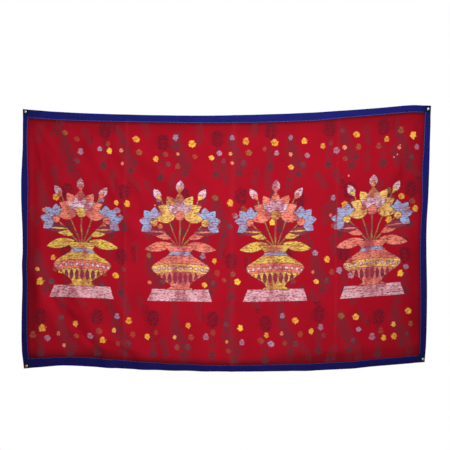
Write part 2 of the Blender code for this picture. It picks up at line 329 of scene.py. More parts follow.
DOT = Spot(0.0, 0.0, 0.0045)
MOUND = Spot(0.0, 0.010, 0.0165)
SIDE_MOUND = Spot(0.020, 0.052, 0.0115)
MOUND_SQUASH = 1.15
NARROW_STEM_HALF = 0.0016
NARROW_TOP = 0.200
NARROW_STEMS = (Growth(0.0, 0.012, 108, 0.080, 0.0024), Growth(0.0, 0.012, 67, 0.062, 0.0024))
NARROW_TWIGS = Pairs(0.050, 0.030, 30, 0.016, 0.0085)
NARROW_BANDS = ((0.0, 0.140), (0.138, 0.212))
HEAD_LEAVES = Pairs(0.150, 0.0160, 42, 0.038, 0.0120)
HEAD_FAN = Growth(0.0, 0.132, 90, 0.082, 0.076)
HEAD_TIP = Growth(0.0, 0.184, 90, 0.028, 0.013)
NARROW_FOOT = Spot(0.0, 0.004, 0.0175)
FERN_WAVES = 55.0
FERN_WAVE_REACH = 0.005
FERN_STEM_HALF = 0.0012
FERN_LEAVES = (Pairs(0.0, 0.0165, 26, 0.019, 0.0098), Pairs(0.006, 0.0330, 52, 0.034, 0.0085))
FERN_OUTLINE = Growth(0.0, -0.052, 90, 0.108, 0.064)

# How far the print wavers and blurs, and its inks
PRINT_WAVER = 0.016
FERN_WAVER = Vector((0.018, 0.020))
PRINT_BLUR = 0.0050
FOOT_BLUR = 0.008
HAZE_BLUR = 0.030
FAN_BLUR = 0.024
HEAD_LEVEL = 0.110
SLATE_INK = (66, 48, 56)
PLUM_INK = (100, 36, 50)
HEAD_INK = (84, 18, 36)

# A blossom's shape, in parts of its radius, and its ring's colour
BLOSSOM_REACH = 0.88
LOBE_COUNT = 5.0
LOBE_DEPTH = 0.06
RAGGEDNESS = 1.25
RING_RADIUS = 0.28
RING_HALF_WIDTH = 0.11
RING_OCHRE = (150, 84, 34)

# Four painted flower vases, each given by the middle of its stand's foot
VASE_ACROSS = (0.277, 0.735, 1.178, 1.628)
VASE_FOOT = 0.872
VASE_HALF_WIDTH = 0.200
VASE_HEIGHT = 0.560
VASE_MARGIN = 0.03

# Sewing: one running stitch along the binding's inner edge
STITCH_SEED = 31
STITCH_INSET = 0.0024
STITCH_WIDTH = 0.0015
STITCH_HEIGHT = 0.0007
STITCH_LIFT = 0.0001
STITCH_TILT = 0.12
STITCH_STEP = 0.001
ROW_INSET = 0.003
STITCH_GROUP = 30

# The tacks, as in the solids
HEAD_RADIUS = 0.0062
HEAD_RISE = 0.0026
RIM_THICKNESS = 0.0006
SHANK_RADIUS = 0.0010
TACK_SEAT = 0.0039
TAPER_START = 0.0030
POINT_DEPTH = 0.0080
DOME_STEPS = 10
TACK_STEPS = 48
TACKS = ("tack_top_left", "tack_top_right", "tack_bottom_left", "tack_bottom_right")
BRASS_TACKS = ("tack_bottom_left",)
TACK_RING_REACH = 0.021

# The photograph's frame: what it spans at the cloth, and where its middle falls. Then the stage.
LENS = 50.0
SENSOR = 36.0
VIEW_WIDTH = 2.079
VIEW_MIDDLE = Vector((-0.009, 0.0, -0.508))
CLOTH_MIDDLE = 0.010
FLOOR_DROP = 0.80
FLOOR_RADIUS = 1.15
BACKDROP_LIGHT = 0.10

Lamp = namedtuple("Lamp", "name kind place target watts shape")
LAMPS = (
    Lamp(
        "key_light",
        "SPOT",
        (1.03, -2.76, 1.48),
        (-0.14, 0.0, -0.27),
        318.0,
        {"spot_size": math.radians(60), "spot_blend": 1.0, "shadow_soft_size": 0.30},
    ),
    Lamp("fill_light", "AREA", (-0.1, -1.75, -0.8), (0.0, 0.0, -0.1), 19.0, {"size": 0.8}),
    Lamp("back_light", "AREA", (0.6, 2.4, 1.0), (0.0, 0.0, -0.5), 45.0, {"size": 2.0}),
)


def mix(start, end, share):
    """The value a share of the way from start to end."""
    return start + (end - start) * share


def ease(share):
    """A share from 0 to 1, with a soft start and end."""
    share = np.clip(share, 0.0, 1.0)
    return share * share * (3.0 - 2.0 * share)


def bell(off, power=2):
    """A soft bump, 1 where off is 0, that fades as off passes 1."""
    return np.exp(-(off**power))


def linear(colour, alpha=1.0):
    """A colour given as three numbers up to 255, as Blender's shaders hold it."""
    shares = [channel / 255.0 for channel in colour]
    lit = [((c + 0.055) / 1.055) ** 2.4 if c > 0.04045 else c / 12.92 for c in shares]
    return (*lit, alpha)


def edge_offset(curve, share):
    """The offset of an edge at shares along it, on a smooth curve through its points."""
    shares, offsets = np.array(curve)
    last = len(shares) - 1
    before = np.maximum(np.arange(last + 1) - 1, 0)
    after = np.minimum(np.arange(last + 1) + 1, last)
    slopes = (offsets[after] - offsets[before]) / (shares[after] - shares[before])
    low = np.clip(np.searchsorted(shares, share) - 1, 0, last - 1)
    high = low + 1
    span = shares[high] - shares[low]
    t = (share - shares[low]) / span
    rise = ease(t) * (offsets[high] - offsets[low])
    lean_in = t * (1.0 - t) ** 2 * slopes[low]
    lean_out = t * t * (1.0 - t) * slopes[high]
    return offsets[low] + rise + (lean_in - lean_out) * span


def hang(across, down):
    """Where points of the flat cloth hang on the wall, as x and z."""
    s = across / CLOTH_WIDTH
    t = down / CLOTH_HEIGHT
    x = mix(mix(TOP_LEFT.x, TOP_RIGHT.x, s), mix(BOTTOM_LEFT.x, BOTTOM_RIGHT.x, s), t)
    z = mix(mix(TOP_LEFT.z, TOP_RIGHT.z, s), mix(BOTTOM_LEFT.z, BOTTOM_RIGHT.z, s), t)
    x = x + mix(edge_offset(LEFT_EDGE, t), edge_offset(RIGHT_EDGE, t), s)
    z = z - mix(edge_offset(TOP_EDGE, s), edge_offset(BOTTOM_EDGE, s), t)
    return x, z


def fold_height(fold, across, down):
    """The height that one fold adds at points: a soft ridge that fades out past its ends."""
    run_a = fold.to_across - fold.across
    run_d = fold.to_down - fold.down
    length = math.hypot(run_a, run_d)
    off_a = across - fold.across
    off_d = down - fold.down
    along = (off_a * run_a + off_d * run_d) / length
    aside = (off_a * run_d - off_d * run_a) / length
    past_end = np.maximum(np.maximum(-along, along - length), 0.0)
    return fold.height * np.exp(-(aside**2 + past_end**2) / fold.half_width**2)


def uneven(across, down, size, layer):
    """Smooth noise at points, from 0 to 2, with bumps of about a given size."""
    points = zip(across / size, down / size)
    return 1.0 + np.array([noise.noise(Vector((a, d, layer))) for a, d in points])


def cloth_height(across, down):
    """How far points of the cloth stand off the wall. It is the same all the way across a binding."""
    across = np.clip(across, SIDE_BAND, CLOTH_WIDTH - SIDE_BAND)
    down = np.clip(down, TOP_BAND, CLOTH_HEIGHT - BOTTOM_BAND)
    to_side = np.minimum(across, CLOTH_WIDTH - across) - SIDE_BAND
    to_end = np.minimum(down - TOP_BAND, CLOTH_HEIGHT - BOTTOM_BAND - down)
    to_corner = np.hypot(to_side, to_end)
    share_across = (across - SIDE_BAND) / (CLOTH_WIDTH - 2 * SIDE_BAND)
    share_down = (down - TOP_BAND) / (CLOTH_HEIGHT - TOP_BAND - BOTTOM_BAND)
    main = BELLY * np.sin(np.pi * share_across) * np.sin(np.pi * share_down)
    main = main + sum(fold_height(fold, across, down) for fold in FOLDS)
    for crease in CREASES:
        main = main + crease.height * bell((across - crease.across) / crease.half_width)
    main = np.maximum(main, 0.0) * ease(to_corner / FLAT_REACH)
    fine = sum(fold_height(fold, across, down) for fold in FINE_FOLDS)
    fine = fine + settings().ripple_height * uneven(across, down, RIPPLE_SIZE, 0.5)
    pucker = bell(np.minimum(to_side, to_end) / PUCKER_REACH)
    fine = fine + settings().pucker_height * pucker * uneven(across, down, PUCKER_SIZE, 3.5)
    above_bottom = CLOTH_HEIGHT - band_width("bottom", across) - down
    from_left = across - band_width("left", down)
    rolls = [bell((off - ROLL_INSET) / ROLL_HALF_WIDTH) for off in (above_bottom, from_left)]
    roll = np.maximum(*rolls)
    fine = fine + settings().roll_height * roll * uneven(across, down, ROLL_SIZE, 6.5)
    return np.maximum(main + fine * ease(to_corner / FINE_REACH), 0.0)


def cloth_points(across, down, forward):
    """Points of the hung cloth, with forward measured to the front from the middle of the panel."""
    x, z = hang(across, down)
    y = -(CORNER_DEPTH + cloth_height(across, down) + forward)
    return np.stack([x, y, z], axis=1)


def read_field(items, field, kind=np.int32, width=1):
    """One field of all the vertices, corners or faces of a mesh, as an array."""
    values = np.zeros(len(items) * width, kind)
    items.foreach_get(field, values)
    return values


def vertex_places(mesh):
    """A mesh's vertex places as an array of rows."""
    return read_field(mesh.vertices, "co", float, 3).reshape(-1, 3)


def corner_vertices(mesh):
    """The vertex at each face corner of a mesh."""
    return read_field(mesh.loops, "vertex_index")


def face_of_corner(mesh):
    """The face that each face corner of a mesh belongs to."""
    totals = read_field(mesh.polygons, "loop_total")
    return np.repeat(np.arange(len(totals)), totals)


def finished_mesh(name, shape, *materials):
    """A mesh made from a bmesh, which is freed."""
    mesh = bpy.data.meshes.new(name)
    shape.to_mesh(mesh)
    shape.free()
    for material in materials:
        mesh.materials.append(material)
    return mesh


def add_object(name, data):
    """A new object in the scene."""
    piece = bpy.data.objects.new(name, data)
    bpy.context.scene.collection.objects.link(piece)
    return piece


def add_piece(name, mesh):
    """A new piece of the hanging, which rides on the solids' body."""
    mesh.shade_smooth()
    piece = add_object(name, mesh)
    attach(piece, BODY)
    return piece


def give_map(mesh, u, v):
    """Give a mesh the map that its pattern reads."""
    layer = mesh.uv_layers.new(name=MAP_NAME)
    layer.data.foreach_set("uv", np.stack([u, v], axis=1).astype(np.float32).ravel())


def give_corners(mesh, name, columns, field="vector"):
    """Give a mesh a vector or a colour at each face corner, for a pattern to read."""
    kind = {"vector": "FLOAT_VECTOR", "color": "FLOAT_COLOR"}[field]
    layer = mesh.attributes.new(name, kind, "CORNER")
    layer.data.foreach_set(field, np.stack(columns, axis=1).astype(np.float32).ravel())


class Value:
    """A number or colour that changes over a surface. Python's operators on it add Math nodes."""

    def __init__(self, shader, socket):
        self.shader = shader
        self.socket = socket

    def __add__(self, other):
        return self.shader.math("ADD", self, other)

    def __sub__(self, other):
        return self.shader.math("SUBTRACT", self, other)

    def __rsub__(self, other):
        return self.shader.math("SUBTRACT", other, self)

    def __mul__(self, other):
        return self.shader.math("MULTIPLY", self, other)

    def __truediv__(self, other):
        return self.shader.math("DIVIDE", self, other)

    def __neg__(self):
        return self.shader.math("MULTIPLY", self, -1.0)

    def __abs__(self):
        return self.shader.math("ABSOLUTE", self)

    __radd__ = __add__
    __rmul__ = __mul__


class Shader:
    """One material and the nodes that make it."""

    def __init__(self, name, roughness, **plain):
        self.material = bpy.data.materials.new(name)
        self.material.use_nodes = True
        self.tree = self.material.node_tree
        self.surface = self.tree.nodes["Principled BSDF"]
        self.surface.inputs["Roughness"].default_value = roughness
        for socket, value in plain.items():
            self.surface.inputs[socket.replace("_", " ")].default_value = value

    def node(self, kind, settings=None, inputs=None):
        """A node of a kind. Its settings are set first, and then its sockets get values or links."""
        node = self.tree.nodes.new(kind)
        for name, value in (settings or {}).items():
            if name == "stops":
                self.set_stops(node.color_ramp, value)
            else:
                setattr(node, name, value)
        for name, value in (inputs or {}).items():
            self.feed(node.inputs[name], value)
        return node

    def value(self, kind, settings=None, inputs=None, output=0):
        """What a new node gives at one of its outputs."""
        return Value(self, self.node(kind, settings, inputs).outputs[output])

    def set_stops(self, ramp, stops):
        """Give a ramp its stops, each a place and a grey."""
        while len(ramp.elements) < len(stops):
            ramp.elements.new(1.0)
        for element, (place, grey) in zip(ramp.elements, stops):
            element.position = place
            element.color = (grey, grey, grey, 1.0)

    def feed(self, socket, value):
        """Link a value to a socket, or set the socket to a plain number or colour."""
        if isinstance(value, Value):
            self.tree.links.new(value.socket, socket)
        else:
            socket.default_value = value

    def math(self, operation, *values, clamp=False):
        """A Math node on values."""
        settings = {"operation": operation, "use_clamp": clamp}
        return self.value("ShaderNodeMath", settings, dict(enumerate(values)))

    def least(self, *values):
        """The least of some values."""
        return reduce(lambda first, second: self.math("MINIMUM", first, second), values)

    def most(self, *values):
        """The most of some values."""
        return reduce(lambda first, second: self.math("MAXIMUM", first, second), values)

    def wrap(self, value, pitch):
        """A value folded into one pitch, with 0 in its middle."""
        return self.math("WRAP", value, pitch / 2, -pitch / 2)

    def vector(self, x, y, z=0.0):
        """A vector made of three numbers."""
        return self.value("ShaderNodeCombineXYZ", None, {0: x, 1: y, 2: z})

    def length(self, x, y):
        """How far a flat place lies from the middle of its frame."""
        return self.value("ShaderNodeVectorMath", {"operation": "LENGTH"}, {0: self.vector(x, y)}, "Value")

    def distance(self, place, target):
        """How far a place is from a fixed point."""
        return self.value("ShaderNodeVectorMath", {"operation": "DISTANCE"}, {0: place, 1: target}, "Value")

    def parts(self, vector):
        """The three numbers of a vector."""
        node = self.node("ShaderNodeSeparateXYZ", None, {0: vector})
        return [Value(self, output) for output in node.outputs]

    def attribute(self, name):
        """The vector that the mesh holds under a name."""
        return self.value("ShaderNodeAttribute", {"attribute_name": name}, None, "Vector")

    def painted_attribute(self, name):
        """The colour and the cover that the mesh holds under a name."""
        node = self.node("ShaderNodeAttribute", {"attribute_name": name})
        return Value(self, node.outputs["Color"]), Value(self, node.outputs["Alpha"])

    def object_place(self):
        """The place in the hanging's own frame."""
        return self.value("ShaderNodeTexCoord", output="Object")

    def map_place(self):
        """The place on the piece's map."""
        return self.value("ShaderNodeUVMap", {"uv_map": MAP_NAME})

    def grain(self, place, size, detail):
        """Noise from 0 to 1 with features of about a size. A size of three numbers stretches it."""
        stretch = size if hasattr(size, "__len__") else (size, size, size)
        scaled = self.value("ShaderNodeVectorMath", {"operation": "DIVIDE"}, {0: place, 1: stretch})
        inputs = {"Vector": scaled, "Scale": 1.0, "Detail": detail, "Roughness": GRAIN_ROUGHNESS}
        return self.value("ShaderNodeTexNoise", {"noise_dimensions": "3D"}, inputs)

    def above(self, value, level, edge):
        """0 where a value is under a level and 1 where it is over it, with an edge of some width."""
        return self.math("MULTIPLY_ADD", value, 1.0 / edge, 0.5 - level / edge, clamp=True)

    def paint(self, under, over, cover):
        """One colour laid over another."""
        settings = {"data_type": "RGBA", "clamp_factor": True}
        return self.value("ShaderNodeMix", settings, {0: cover, 6: under, 7: over}, 2)

    def shade(self, colour, amount):
        """A colour made darker or lighter by an amount that changes over the surface."""
        return self.value("ShaderNodeVectorMath", {"operation": "SCALE"}, {0: colour, 3: amount})

    def bell(self, off):
        """A soft bump, 1 where off is 0, that fades as off passes 1."""
        return self.math("EXPONENT", -(off * off))

    def finish(self, colour):
        """Give the surface its colour, and hand over the material."""
        self.feed(self.surface.inputs["Base Color"], colour)
        return self.material

    def bump(self, height, distance):
        """Raise the surface by a height, in units of a distance."""
        inputs = {"Strength": 1.0, "Distance": distance, "Height": height}
        self.feed(self.surface.inputs["Normal"], self.value("ShaderNodeBump", None, inputs))


class Drawing:
    """Flat shapes drawn by shader maths in one frame, with x to the right and y up, in metres.

    A shape is a depth: how far inside it a point lies, and below 0 outside.
    """

    def __init__(self, shader, x, y):
        self.shader = shader
        self.x = x
        self.y = y

    def turned(self, right, up, angle):
        """The place in a frame moved to a point and turned left by an angle."""
        c, s = math.cos(angle), math.sin(angle)
        fused = self.shader.math
        u = fused("MULTIPLY_ADD", self.x, c, fused("MULTIPLY_ADD", self.y, s, -right * c - up * s))
        v = fused("MULTIPLY_ADD", self.x, -s, fused("MULTIPLY_ADD", self.y, c, right * s - up * c))
        return u, v

    def pointed(self, u, v, half_length, half_width):
        """The depth in a pointed leaf whose middle is the frame's origin."""
        bow = self.shader.math("MULTIPLY_ADD", u * u, -half_width / half_length**2, half_width)
        return bow - abs(v)

    def leaf(self, right, up, degrees, length, width):
        """The depth in a leaf that grows from a point at an angle above the horizontal."""
        angle = math.radians(degrees)
        middle_right = right + length / 2 * math.cos(angle)
        middle_up = up + length / 2 * math.sin(angle)
        u, v = self.turned(middle_right, middle_up, angle)
        return self.pointed(u, v, length / 2, width / 2)

    def stroke(self, right, up, degrees, length, width):
        """The depth in a straight stroke that starts at a point."""
        u, v = self.turned(right, up, math.radians(degrees))
        past_end = abs(u - length / 2) - length / 2
        return self.shader.least(width / 2 - abs(v), -past_end)

    def round(self, right, up, radius):
        """The depth in a round spot."""
        return radius - self.shader.length(self.x - right, self.y - up)

    def band(self, low, high):
        """The depth in a level band."""
        return (high - low) / 2 - abs(self.y - (low + high) / 2)

    def pairs(self, first, pitch, degrees, length, width):
        """The depth in pairs of leaves that rise from the upright axis, one pair in each pitch."""
        shader = self.shader
        angle = math.radians(degrees)
        side = abs(self.x)
        rise = shader.math("MULTIPLY_ADD", side, -math.tan(angle), self.y - first)
        v = shader.wrap(rise, pitch) * math.cos(angle)
        u = side / math.cos(angle) - length / 2
        return self.pointed(u, v, length / 2, width / 2)

    def petals(self, right, up, degrees, count, spread, start, length, width):
        """The depth in a fan of petals about a point, opening at an angle above the horizontal."""
        shader = self.shader
        u, v = self.turned(right, up, math.radians(degrees))
        radius = shader.length(u, v)
        angle = shader.math("ARCTAN2", v, u)
        step = math.radians(spread) / (count - 1)
        limit = (count - 1) / 2
        nearest = shader.math("ROUND", angle / step + limit % 1) - limit % 1
        nearest = shader.least(shader.most(nearest, -limit), limit)
        aside = angle - nearest * step
        along = radius * shader.math("COSINE", aside) - (start + length / 2)
        off = radius * shader.math("SINE", aside)
        return self.pointed(along, off, length / 2, width / 2)


# The look of the print


def tall_plant(shader, x, y):
    """The cover of a tall plant: a wavy stem that leans left, with leaves in pairs, dots and mounds."""
    sway = shader.math("SINE", y * TALL_SWAY.waves) * TALL_SWAY.reach
    tall = Drawing(shader, x - (sway - y * y * TALL_SWAY.bend - y * TALL_SWAY.lean), y)
    leaves = shader.most(*(tall.pairs(*pairs) for pairs in TALL_LEAVES))
    dot_x = shader.wrap(tall.x + y * DOT_SLANT, DOT_PITCH.x)
    dots = Drawing(shader, dot_x, shader.wrap(y, DOT_PITCH.y))
    leaves = shader.most(leaves, dots.round(*DOT))
    stem = shader.least(TALL_STEM_HALF - abs(tall.x), tall.band(0.0, TALL_TOP))
    plant = shader.most(stem, leaves)
    outline = shader.least(tall.band(*TALL_LEAF_BAND), tall.leaf(*TALL_OUTLINE))
    plant = shader.most(shader.least(plant, outline), tall.leaf(*TALL_CROWN))
    low = Drawing(shader, x, y * MOUND_SQUASH)
    mounds = shader.most(low.round(*MOUND), low.round(*SIDE_MOUND))
    cover = shader.most(shader.above(plant, 0.0, PRINT_BLUR) * 0.85, shader.above(mounds, 0.0, FOOT_BLUR))
    return shader.most(cover, shader.above(tall.leaf(*TALL_HAZE), 0.0, HAZE_BLUR) * 0.24)


def narrow_plant(shader, x, y):
    """The cover of a narrow plant: stems to each blossom, a leafy head and a round foot."""
    narrow = Drawing(shader, x, y)
    stems = shader.least(NARROW_STEM_HALF - abs(x), narrow.band(0.0, NARROW_TOP))
    for stem in NARROW_STEMS:
        stems = shader.most(stems, narrow.stroke(*stem))
    fan = narrow.leaf(*HEAD_FAN)
    head = shader.least(narrow.pairs(*HEAD_LEAVES), fan)
    bush = shader.most(stems, head, narrow.leaf(*HEAD_TIP), narrow.pairs(*NARROW_TWIGS))
    bush = shader.least(bush, shader.most(*(narrow.band(*band) for band in NARROW_BANDS)))
    cover = shader.most(shader.above(bush, 0.0, PRINT_BLUR) * 0.90, shader.above(fan, 0.0, FAN_BLUR) * 0.38)
    return shader.most(cover, shader.above(narrow.round(*NARROW_FOOT), 0.0, FOOT_BLUR))


def fern_spray(shader, place, wobble):
    """The cover of the ferns: two sizes of paired leaves on a thin stem."""
    x, y, ink = shader.parts(shader.attribute("fern"))
    bend = shader.math("SINE", y * FERN_WAVES) * FERN_WAVE_REACH + wobble * FERN_WAVER.x
    fern = Drawing(shader, x + bend, y + (shader.grain(place, 0.012, 2.0) - 0.5) * FERN_WAVER.y)
    fronds = shader.most(*(fern.pairs(*pairs) for pairs in FERN_LEAVES))
    fronds = shader.most(fronds, FERN_STEM_HALF - abs(fern.x))
    fronds = shader.least(fronds, fern.leaf(*FERN_OUTLINE))
    return shader.above(fronds, 0.0, PRINT_BLUR) * ink


def printed_ink(shader, place, strength):
    """The block-printed plants as a colour and its cover: tall wavy ones, narrow ones and ferns."""
    x, y, kind = shader.parts(shader.attribute("plant"))
    wobble = shader.grain(place, 0.014, 2.0) - 0.5
    x = x + wobble * PRINT_WAVER
    y = y + (shader.grain(place, 0.017, 2.0) - 0.5) * PRINT_WAVER
    tall_cover = tall_plant(shader, x, y)
    narrow_cover = narrow_plant(shader, x, y)
    is_narrow = shader.above(kind, 0.5, 0.1)
    plant_cover = mix(tall_cover, narrow_cover, is_narrow)
    fern_cover = fern_spray(shader, place, wobble)
    patchy = shader.grain(place, 0.010, 3.0) * 3.8 - 0.98
    cover = shader.most(plant_cover, fern_cover) * shader.most(patchy, 0.10) * strength
    head = shader.above(y, HEAD_LEVEL, 0.06) * is_narrow
    slate = shader.paint(linear(SLATE_INK), linear(PLUM_INK), shader.grain(place, 0.020, 1.0))
    return shader.paint(slate, linear(HEAD_INK), head), cover


def lay_blossoms(shader, under):
    """Blossoms dabbed on the printed plants: uneven lobed spots, most with a small ring in the middle."""
    x, y, phase = shader.parts(shader.attribute("blossom"))
    colour, cover = shader.painted_attribute("blossom_paint")
    place = shader.vector(x, y, phase)
    radius = shader.length(x, y)
    angle = shader.math("ARCTAN2", y, x)
    lobes = shader.math("COSINE", angle * LOBE_COUNT + phase * 40.0) * LOBE_DEPTH
    ragged = shader.grain(place, 0.62, 2.0) - 0.5
    reach = BLOSSOM_REACH + lobes + ragged * RAGGEDNESS
    spot = shader.above(reach - radius, 0.0, 0.20)
    heart = shader.above(RING_HALF_WIDTH - abs(radius - RING_RADIUS), 0.0, 0.10)
    gap = shader.above(shader.math("SINE", angle + phase * 60.0), -0.35, 0.3)
    ring = heart * gap * shader.above(shader.math("SINE", phase * 25.0), -0.2, 0.4)
    tone = shader.shade(colour, shader.grain(place, 0.35, 1.0) * 0.9 + 0.55)
    tone = shader.paint(tone, linear(RING_OCHRE), ring * 0.62)
    thin = shader.above(shader.grain(place, 0.42, 2.0), 0.44, 0.30) * 0.55 + 0.45
    full = shader.above(cover, 0.90, 0.12)
    return shader.paint(under, tone, spot * cover * shader.most(thin, full))


# The look of the painted vases

OUTLINE = (96, 26, 58)
MAUVE = (118, 44, 74)
YELLOW = (255, 209, 110)
DULL_YELLOW = (245, 207, 88)
CORAL = (252, 142, 118)
LIGHT_BLUE = (158, 184, 228)
LILAC = (244, 208, 224)
PINK = (240, 184, 195)
OLIVE = (166, 142, 56)

# The vase's half-width on its way up, from foot to rim
POT_FOOT = 0.052
POT_RIM = 0.262
POT_WIDEST = 0.150
PotWidths = namedtuple("PotWidths", "up half_width")
POT_WIDTHS = PotWidths(
    (0.052, 0.068, 0.152, 0.228, 0.262),
    (0.066, 0.046, 0.137, 0.052, 0.078),
)

# Leaves, buds and stems, at the right of the middle and mirrored to the left
VASE_STEMS = (
    Growth(0.000, 0.260, 90, 0.160, 0.0090),
    Growth(0.016, 0.260, 47, 0.145, 0.0080),
    Growth(0.008, 0.260, 70, 0.230, 0.0070),
)
VASE_LEAVES = (
    Growth(0.030, 0.268, -12, 0.142, 0.048),
    Growth(0.038, 0.290, 20, 0.100, 0.036),
)
DARK_LEAVES = (
    Growth(0.062, 0.322, 2, 0.112, 0.038),
    Growth(0.050, 0.362, 64, 0.110, 0.036),
)
VASE_BUDS = (
    Growth(0.086, 0.470, 58, 0.066, 0.036),
    Growth(0.000, 0.502, 90, 0.064, 0.040),
)
Share = namedtuple("Share", "length width")
VEIN_SHARE = Share(0.80, 0.22)
HEART_SHARE = Share(0.55, 0.60)
Fan = namedtuple("Fan", "right up degrees count spread start length width")
SIDE_BLOOM = Fan(0.118, 0.366, 50, 5, 170, 0.012, 0.062, 0.042)
MIDDLE_BLOOM = Fan(0.0, 0.400, 90, 7, 200, 0.016, 0.094, 0.052)
INNER_BLOOM = Fan(0.0, 0.400, 90, 4, 96, 0.012, 0.066, 0.034)
SIDE_CUP = Spot(0.118, 0.366, 0.019)
MIDDLE_CUP = Spot(0.0, 0.400, 0.024)

# The stand, and the pot's collar and bands
STAND_HALF_WIDTH = 0.150
STAND_TAPER = 0.35
STAND_BAND = (-0.002, 0.056)
POT_BOW = 0.9
COLLAR_BAND = (0.212, 0.232)
SASH_BAND = (0.136, 0.178)
BEAD_PITCH = 0.0250
BEAD = Spot(0.0, 0.157, 0.0090)
TONGUE = Growth(0.0, 0.080, 90, 0.056, 0.019)
BAND_INSET = 0.004

# The painter's hand
PAINT_EDGE = 0.0018
OUTLINE_WIDTH = 0.0022
HAND_TREMOR = 0.0050

# The wear of the paint: soft stains, then flecks, then level scratches. Thick says how far thick paint keeps
# them off, and level and edge say where in the grain they start.
Wear = namedtuple("Wear", "colour size detail thick level edge strength")
WEARS = (
    Wear((186, 92, 84), (0.0450, 0.0260, 1.0), 3.0, 0.0, 0.50, 0.24, 0.34),
    Wear((100, 34, 46), (0.0130, 0.0046, 1.0), 2.0, 1.0, 0.56, 0.13, 0.86),
    Wear((146, 40, 56), (0.0700, 0.0056, 1.0), 2.0, 1.0, 0.61, 0.13, 0.70),
)
SCRATCH_DEPTH = 0.35
RUBBED_PLUM = (128, 46, 70)
RUBBED_RED = (168, 40, 62)


class Picture:
    """Painted shapes, held as the colour and the cover of all that is painted so far."""

    def __init__(self, shader):
        self.shader = shader
        self.colour = linear(OUTLINE)
        self.cover = 0.0

    def lay(self, depth, tone, line=OUTLINE_WIDTH):
        """Paint one shape over the others, with its dark outline."""
        shader = self.shader
        mask = shader.above(depth, 0.0, PAINT_EDGE)
        tone = shader.paint(linear(OUTLINE), tone, shader.above(depth, line, PAINT_EDGE))
        self.colour = shader.paint(self.colour, tone, mask)
        self.cover = shader.most(self.cover, mask)


def painted_vases(shader):
    """The four vases of flowers as a colour and its cover, worn where the cloth has rubbed."""
    x, y, index = shader.parts(shader.attribute("vase"))
    place = shader.vector(x, y, index)
    x = x + (shader.grain(place, 0.07, 1.0) - 0.5) * 0.012
    tremor = shader.grain(place, 0.010, 2.0) - 0.5
    x = x + tremor * HAND_TREMOR
    y = y + tremor * HAND_TREMOR
    turn = shader.math("PINGPONG", index, 1.0)
    pot_tone = shader.paint(linear(DULL_YELLOW), linear(CORAL), turn)
    bloom_tone = shader.paint(linear(CORAL), linear(YELLOW), turn)
    side = abs(x)
    half = Drawing(shader, side, y)
    taper = shader.math("MULTIPLY_ADD", y, -STAND_TAPER, STAND_HALF_WIDTH)
    picture = Picture(shader)
    picture.lay(shader.least(taper - side, half.band(*STAND_BAND)), linear(PINK), line=0.001)
    for stem in VASE_STEMS:
        picture.lay(half.stroke(*stem), linear(OLIVE), line=0.0012)
    for leaf in VASE_LEAVES:
        picture.lay(half.leaf(*leaf), pot_tone)
    for leaf in DARK_LEAVES:
        picture.lay(half.leaf(*leaf), linear(MAUVE), line=0.0010)
        vein = leaf._replace(length=leaf.length * VEIN_SHARE.length, width=leaf.width * VEIN_SHARE.width)
        picture.lay(half.leaf(*vein), pot_tone, line=0.0)
    for bud in VASE_BUDS:
        picture.lay(half.leaf(*bud), linear(LILAC))
        heart = bud._replace(length=bud.length * HEART_SHARE.length, width=bud.width * HEART_SHARE.width)
        picture.lay(half.leaf(*heart), bloom_tone, line=0.0016)
    picture.lay(half.petals(*SIDE_BLOOM), linear(LIGHT_BLUE))
    picture.lay(half.round(*SIDE_CUP), bloom_tone)
    picture.lay(half.petals(*MIDDLE_BLOOM), bloom_tone)
    picture.lay(half.petals(*INNER_BLOOM), linear(LILAC), line=0.0018)
    picture.lay(half.round(*MIDDLE_CUP), pot_tone)
    # The pot, with its collar and bands
    rise = POT_RIM - POT_FOOT
    stops = [((up - POT_FOOT) / rise, half_width / POT_WIDEST) for up, half_width in zip(*POT_WIDTHS)]
    share = shader.math("MULTIPLY_ADD", y, 1 / rise, -POT_FOOT / rise)
    ramp = shader.node("ShaderNodeValToRGB", {"stops": stops}, {0: share})
    ramp.color_ramp.interpolation = "EASE"
    wall = Value(shader, ramp.outputs[0]) * POT_WIDEST - side
    picture.lay(shader.least(wall, half.band(POT_FOOT, POT_RIM)), pot_tone, line=0.0026)
    bowed = Drawing(shader, side, y + side * side * POT_BOW)
    picture.lay(shader.least(wall - BAND_INSET, bowed.band(*COLLAR_BAND)), linear(LIGHT_BLUE), line=0.0016)
    picture.lay(shader.least(wall - 0.003, bowed.band(*SASH_BAND)), bloom_tone, line=0.0018)
    beads = Drawing(shader, shader.wrap(x, BEAD_PITCH), bowed.y)
    picture.lay(shader.least(beads.round(*BEAD), wall - BAND_INSET), linear(LILAC), line=0.0020)
    picture.lay(shader.least(beads.leaf(*TONGUE), wall - BAND_INSET), linear(MAUVE), line=0.0)
    return wear_paint(picture, place, x)


def wear_paint(picture, place, x):
    """Painted shapes as they have worn: dark flecks, level scratches, and bare places down the middle."""
    shader = picture.shader
    amount = settings().paint_wear
    colour = shader.shade(picture.colour, shader.grain(place, (0.022, 0.012, 1.0), 3.0) + 0.48)
    thick = shader.grain(place, 0.060, 2.0) * 0.24 - 0.12
    for wear in WEARS:
        grain = shader.grain(place, wear.size, wear.detail) + thick * wear.thick
        marks = shader.above(grain, wear.level, wear.edge)
        colour = shader.paint(colour, linear(wear.colour), marks * (wear.strength * amount))
    middle = shader.math("EXPONENT", x * x * -500.0)
    patches = shader.grain(place, (0.050, 0.075, 1.0), 3.0) + middle * 0.15
    rubbed = shader.above(patches, 0.635, 0.20)
    stain = shader.paint(linear(RUBBED_PLUM), linear(RUBBED_RED), shader.grain(place, 0.012, 2.0))
    colour = shader.paint(colour, stain, rubbed * (0.85 * amount))
    return colour, picture.cover * (1.0 - marks * (SCRATCH_DEPTH * amount))


# Materials

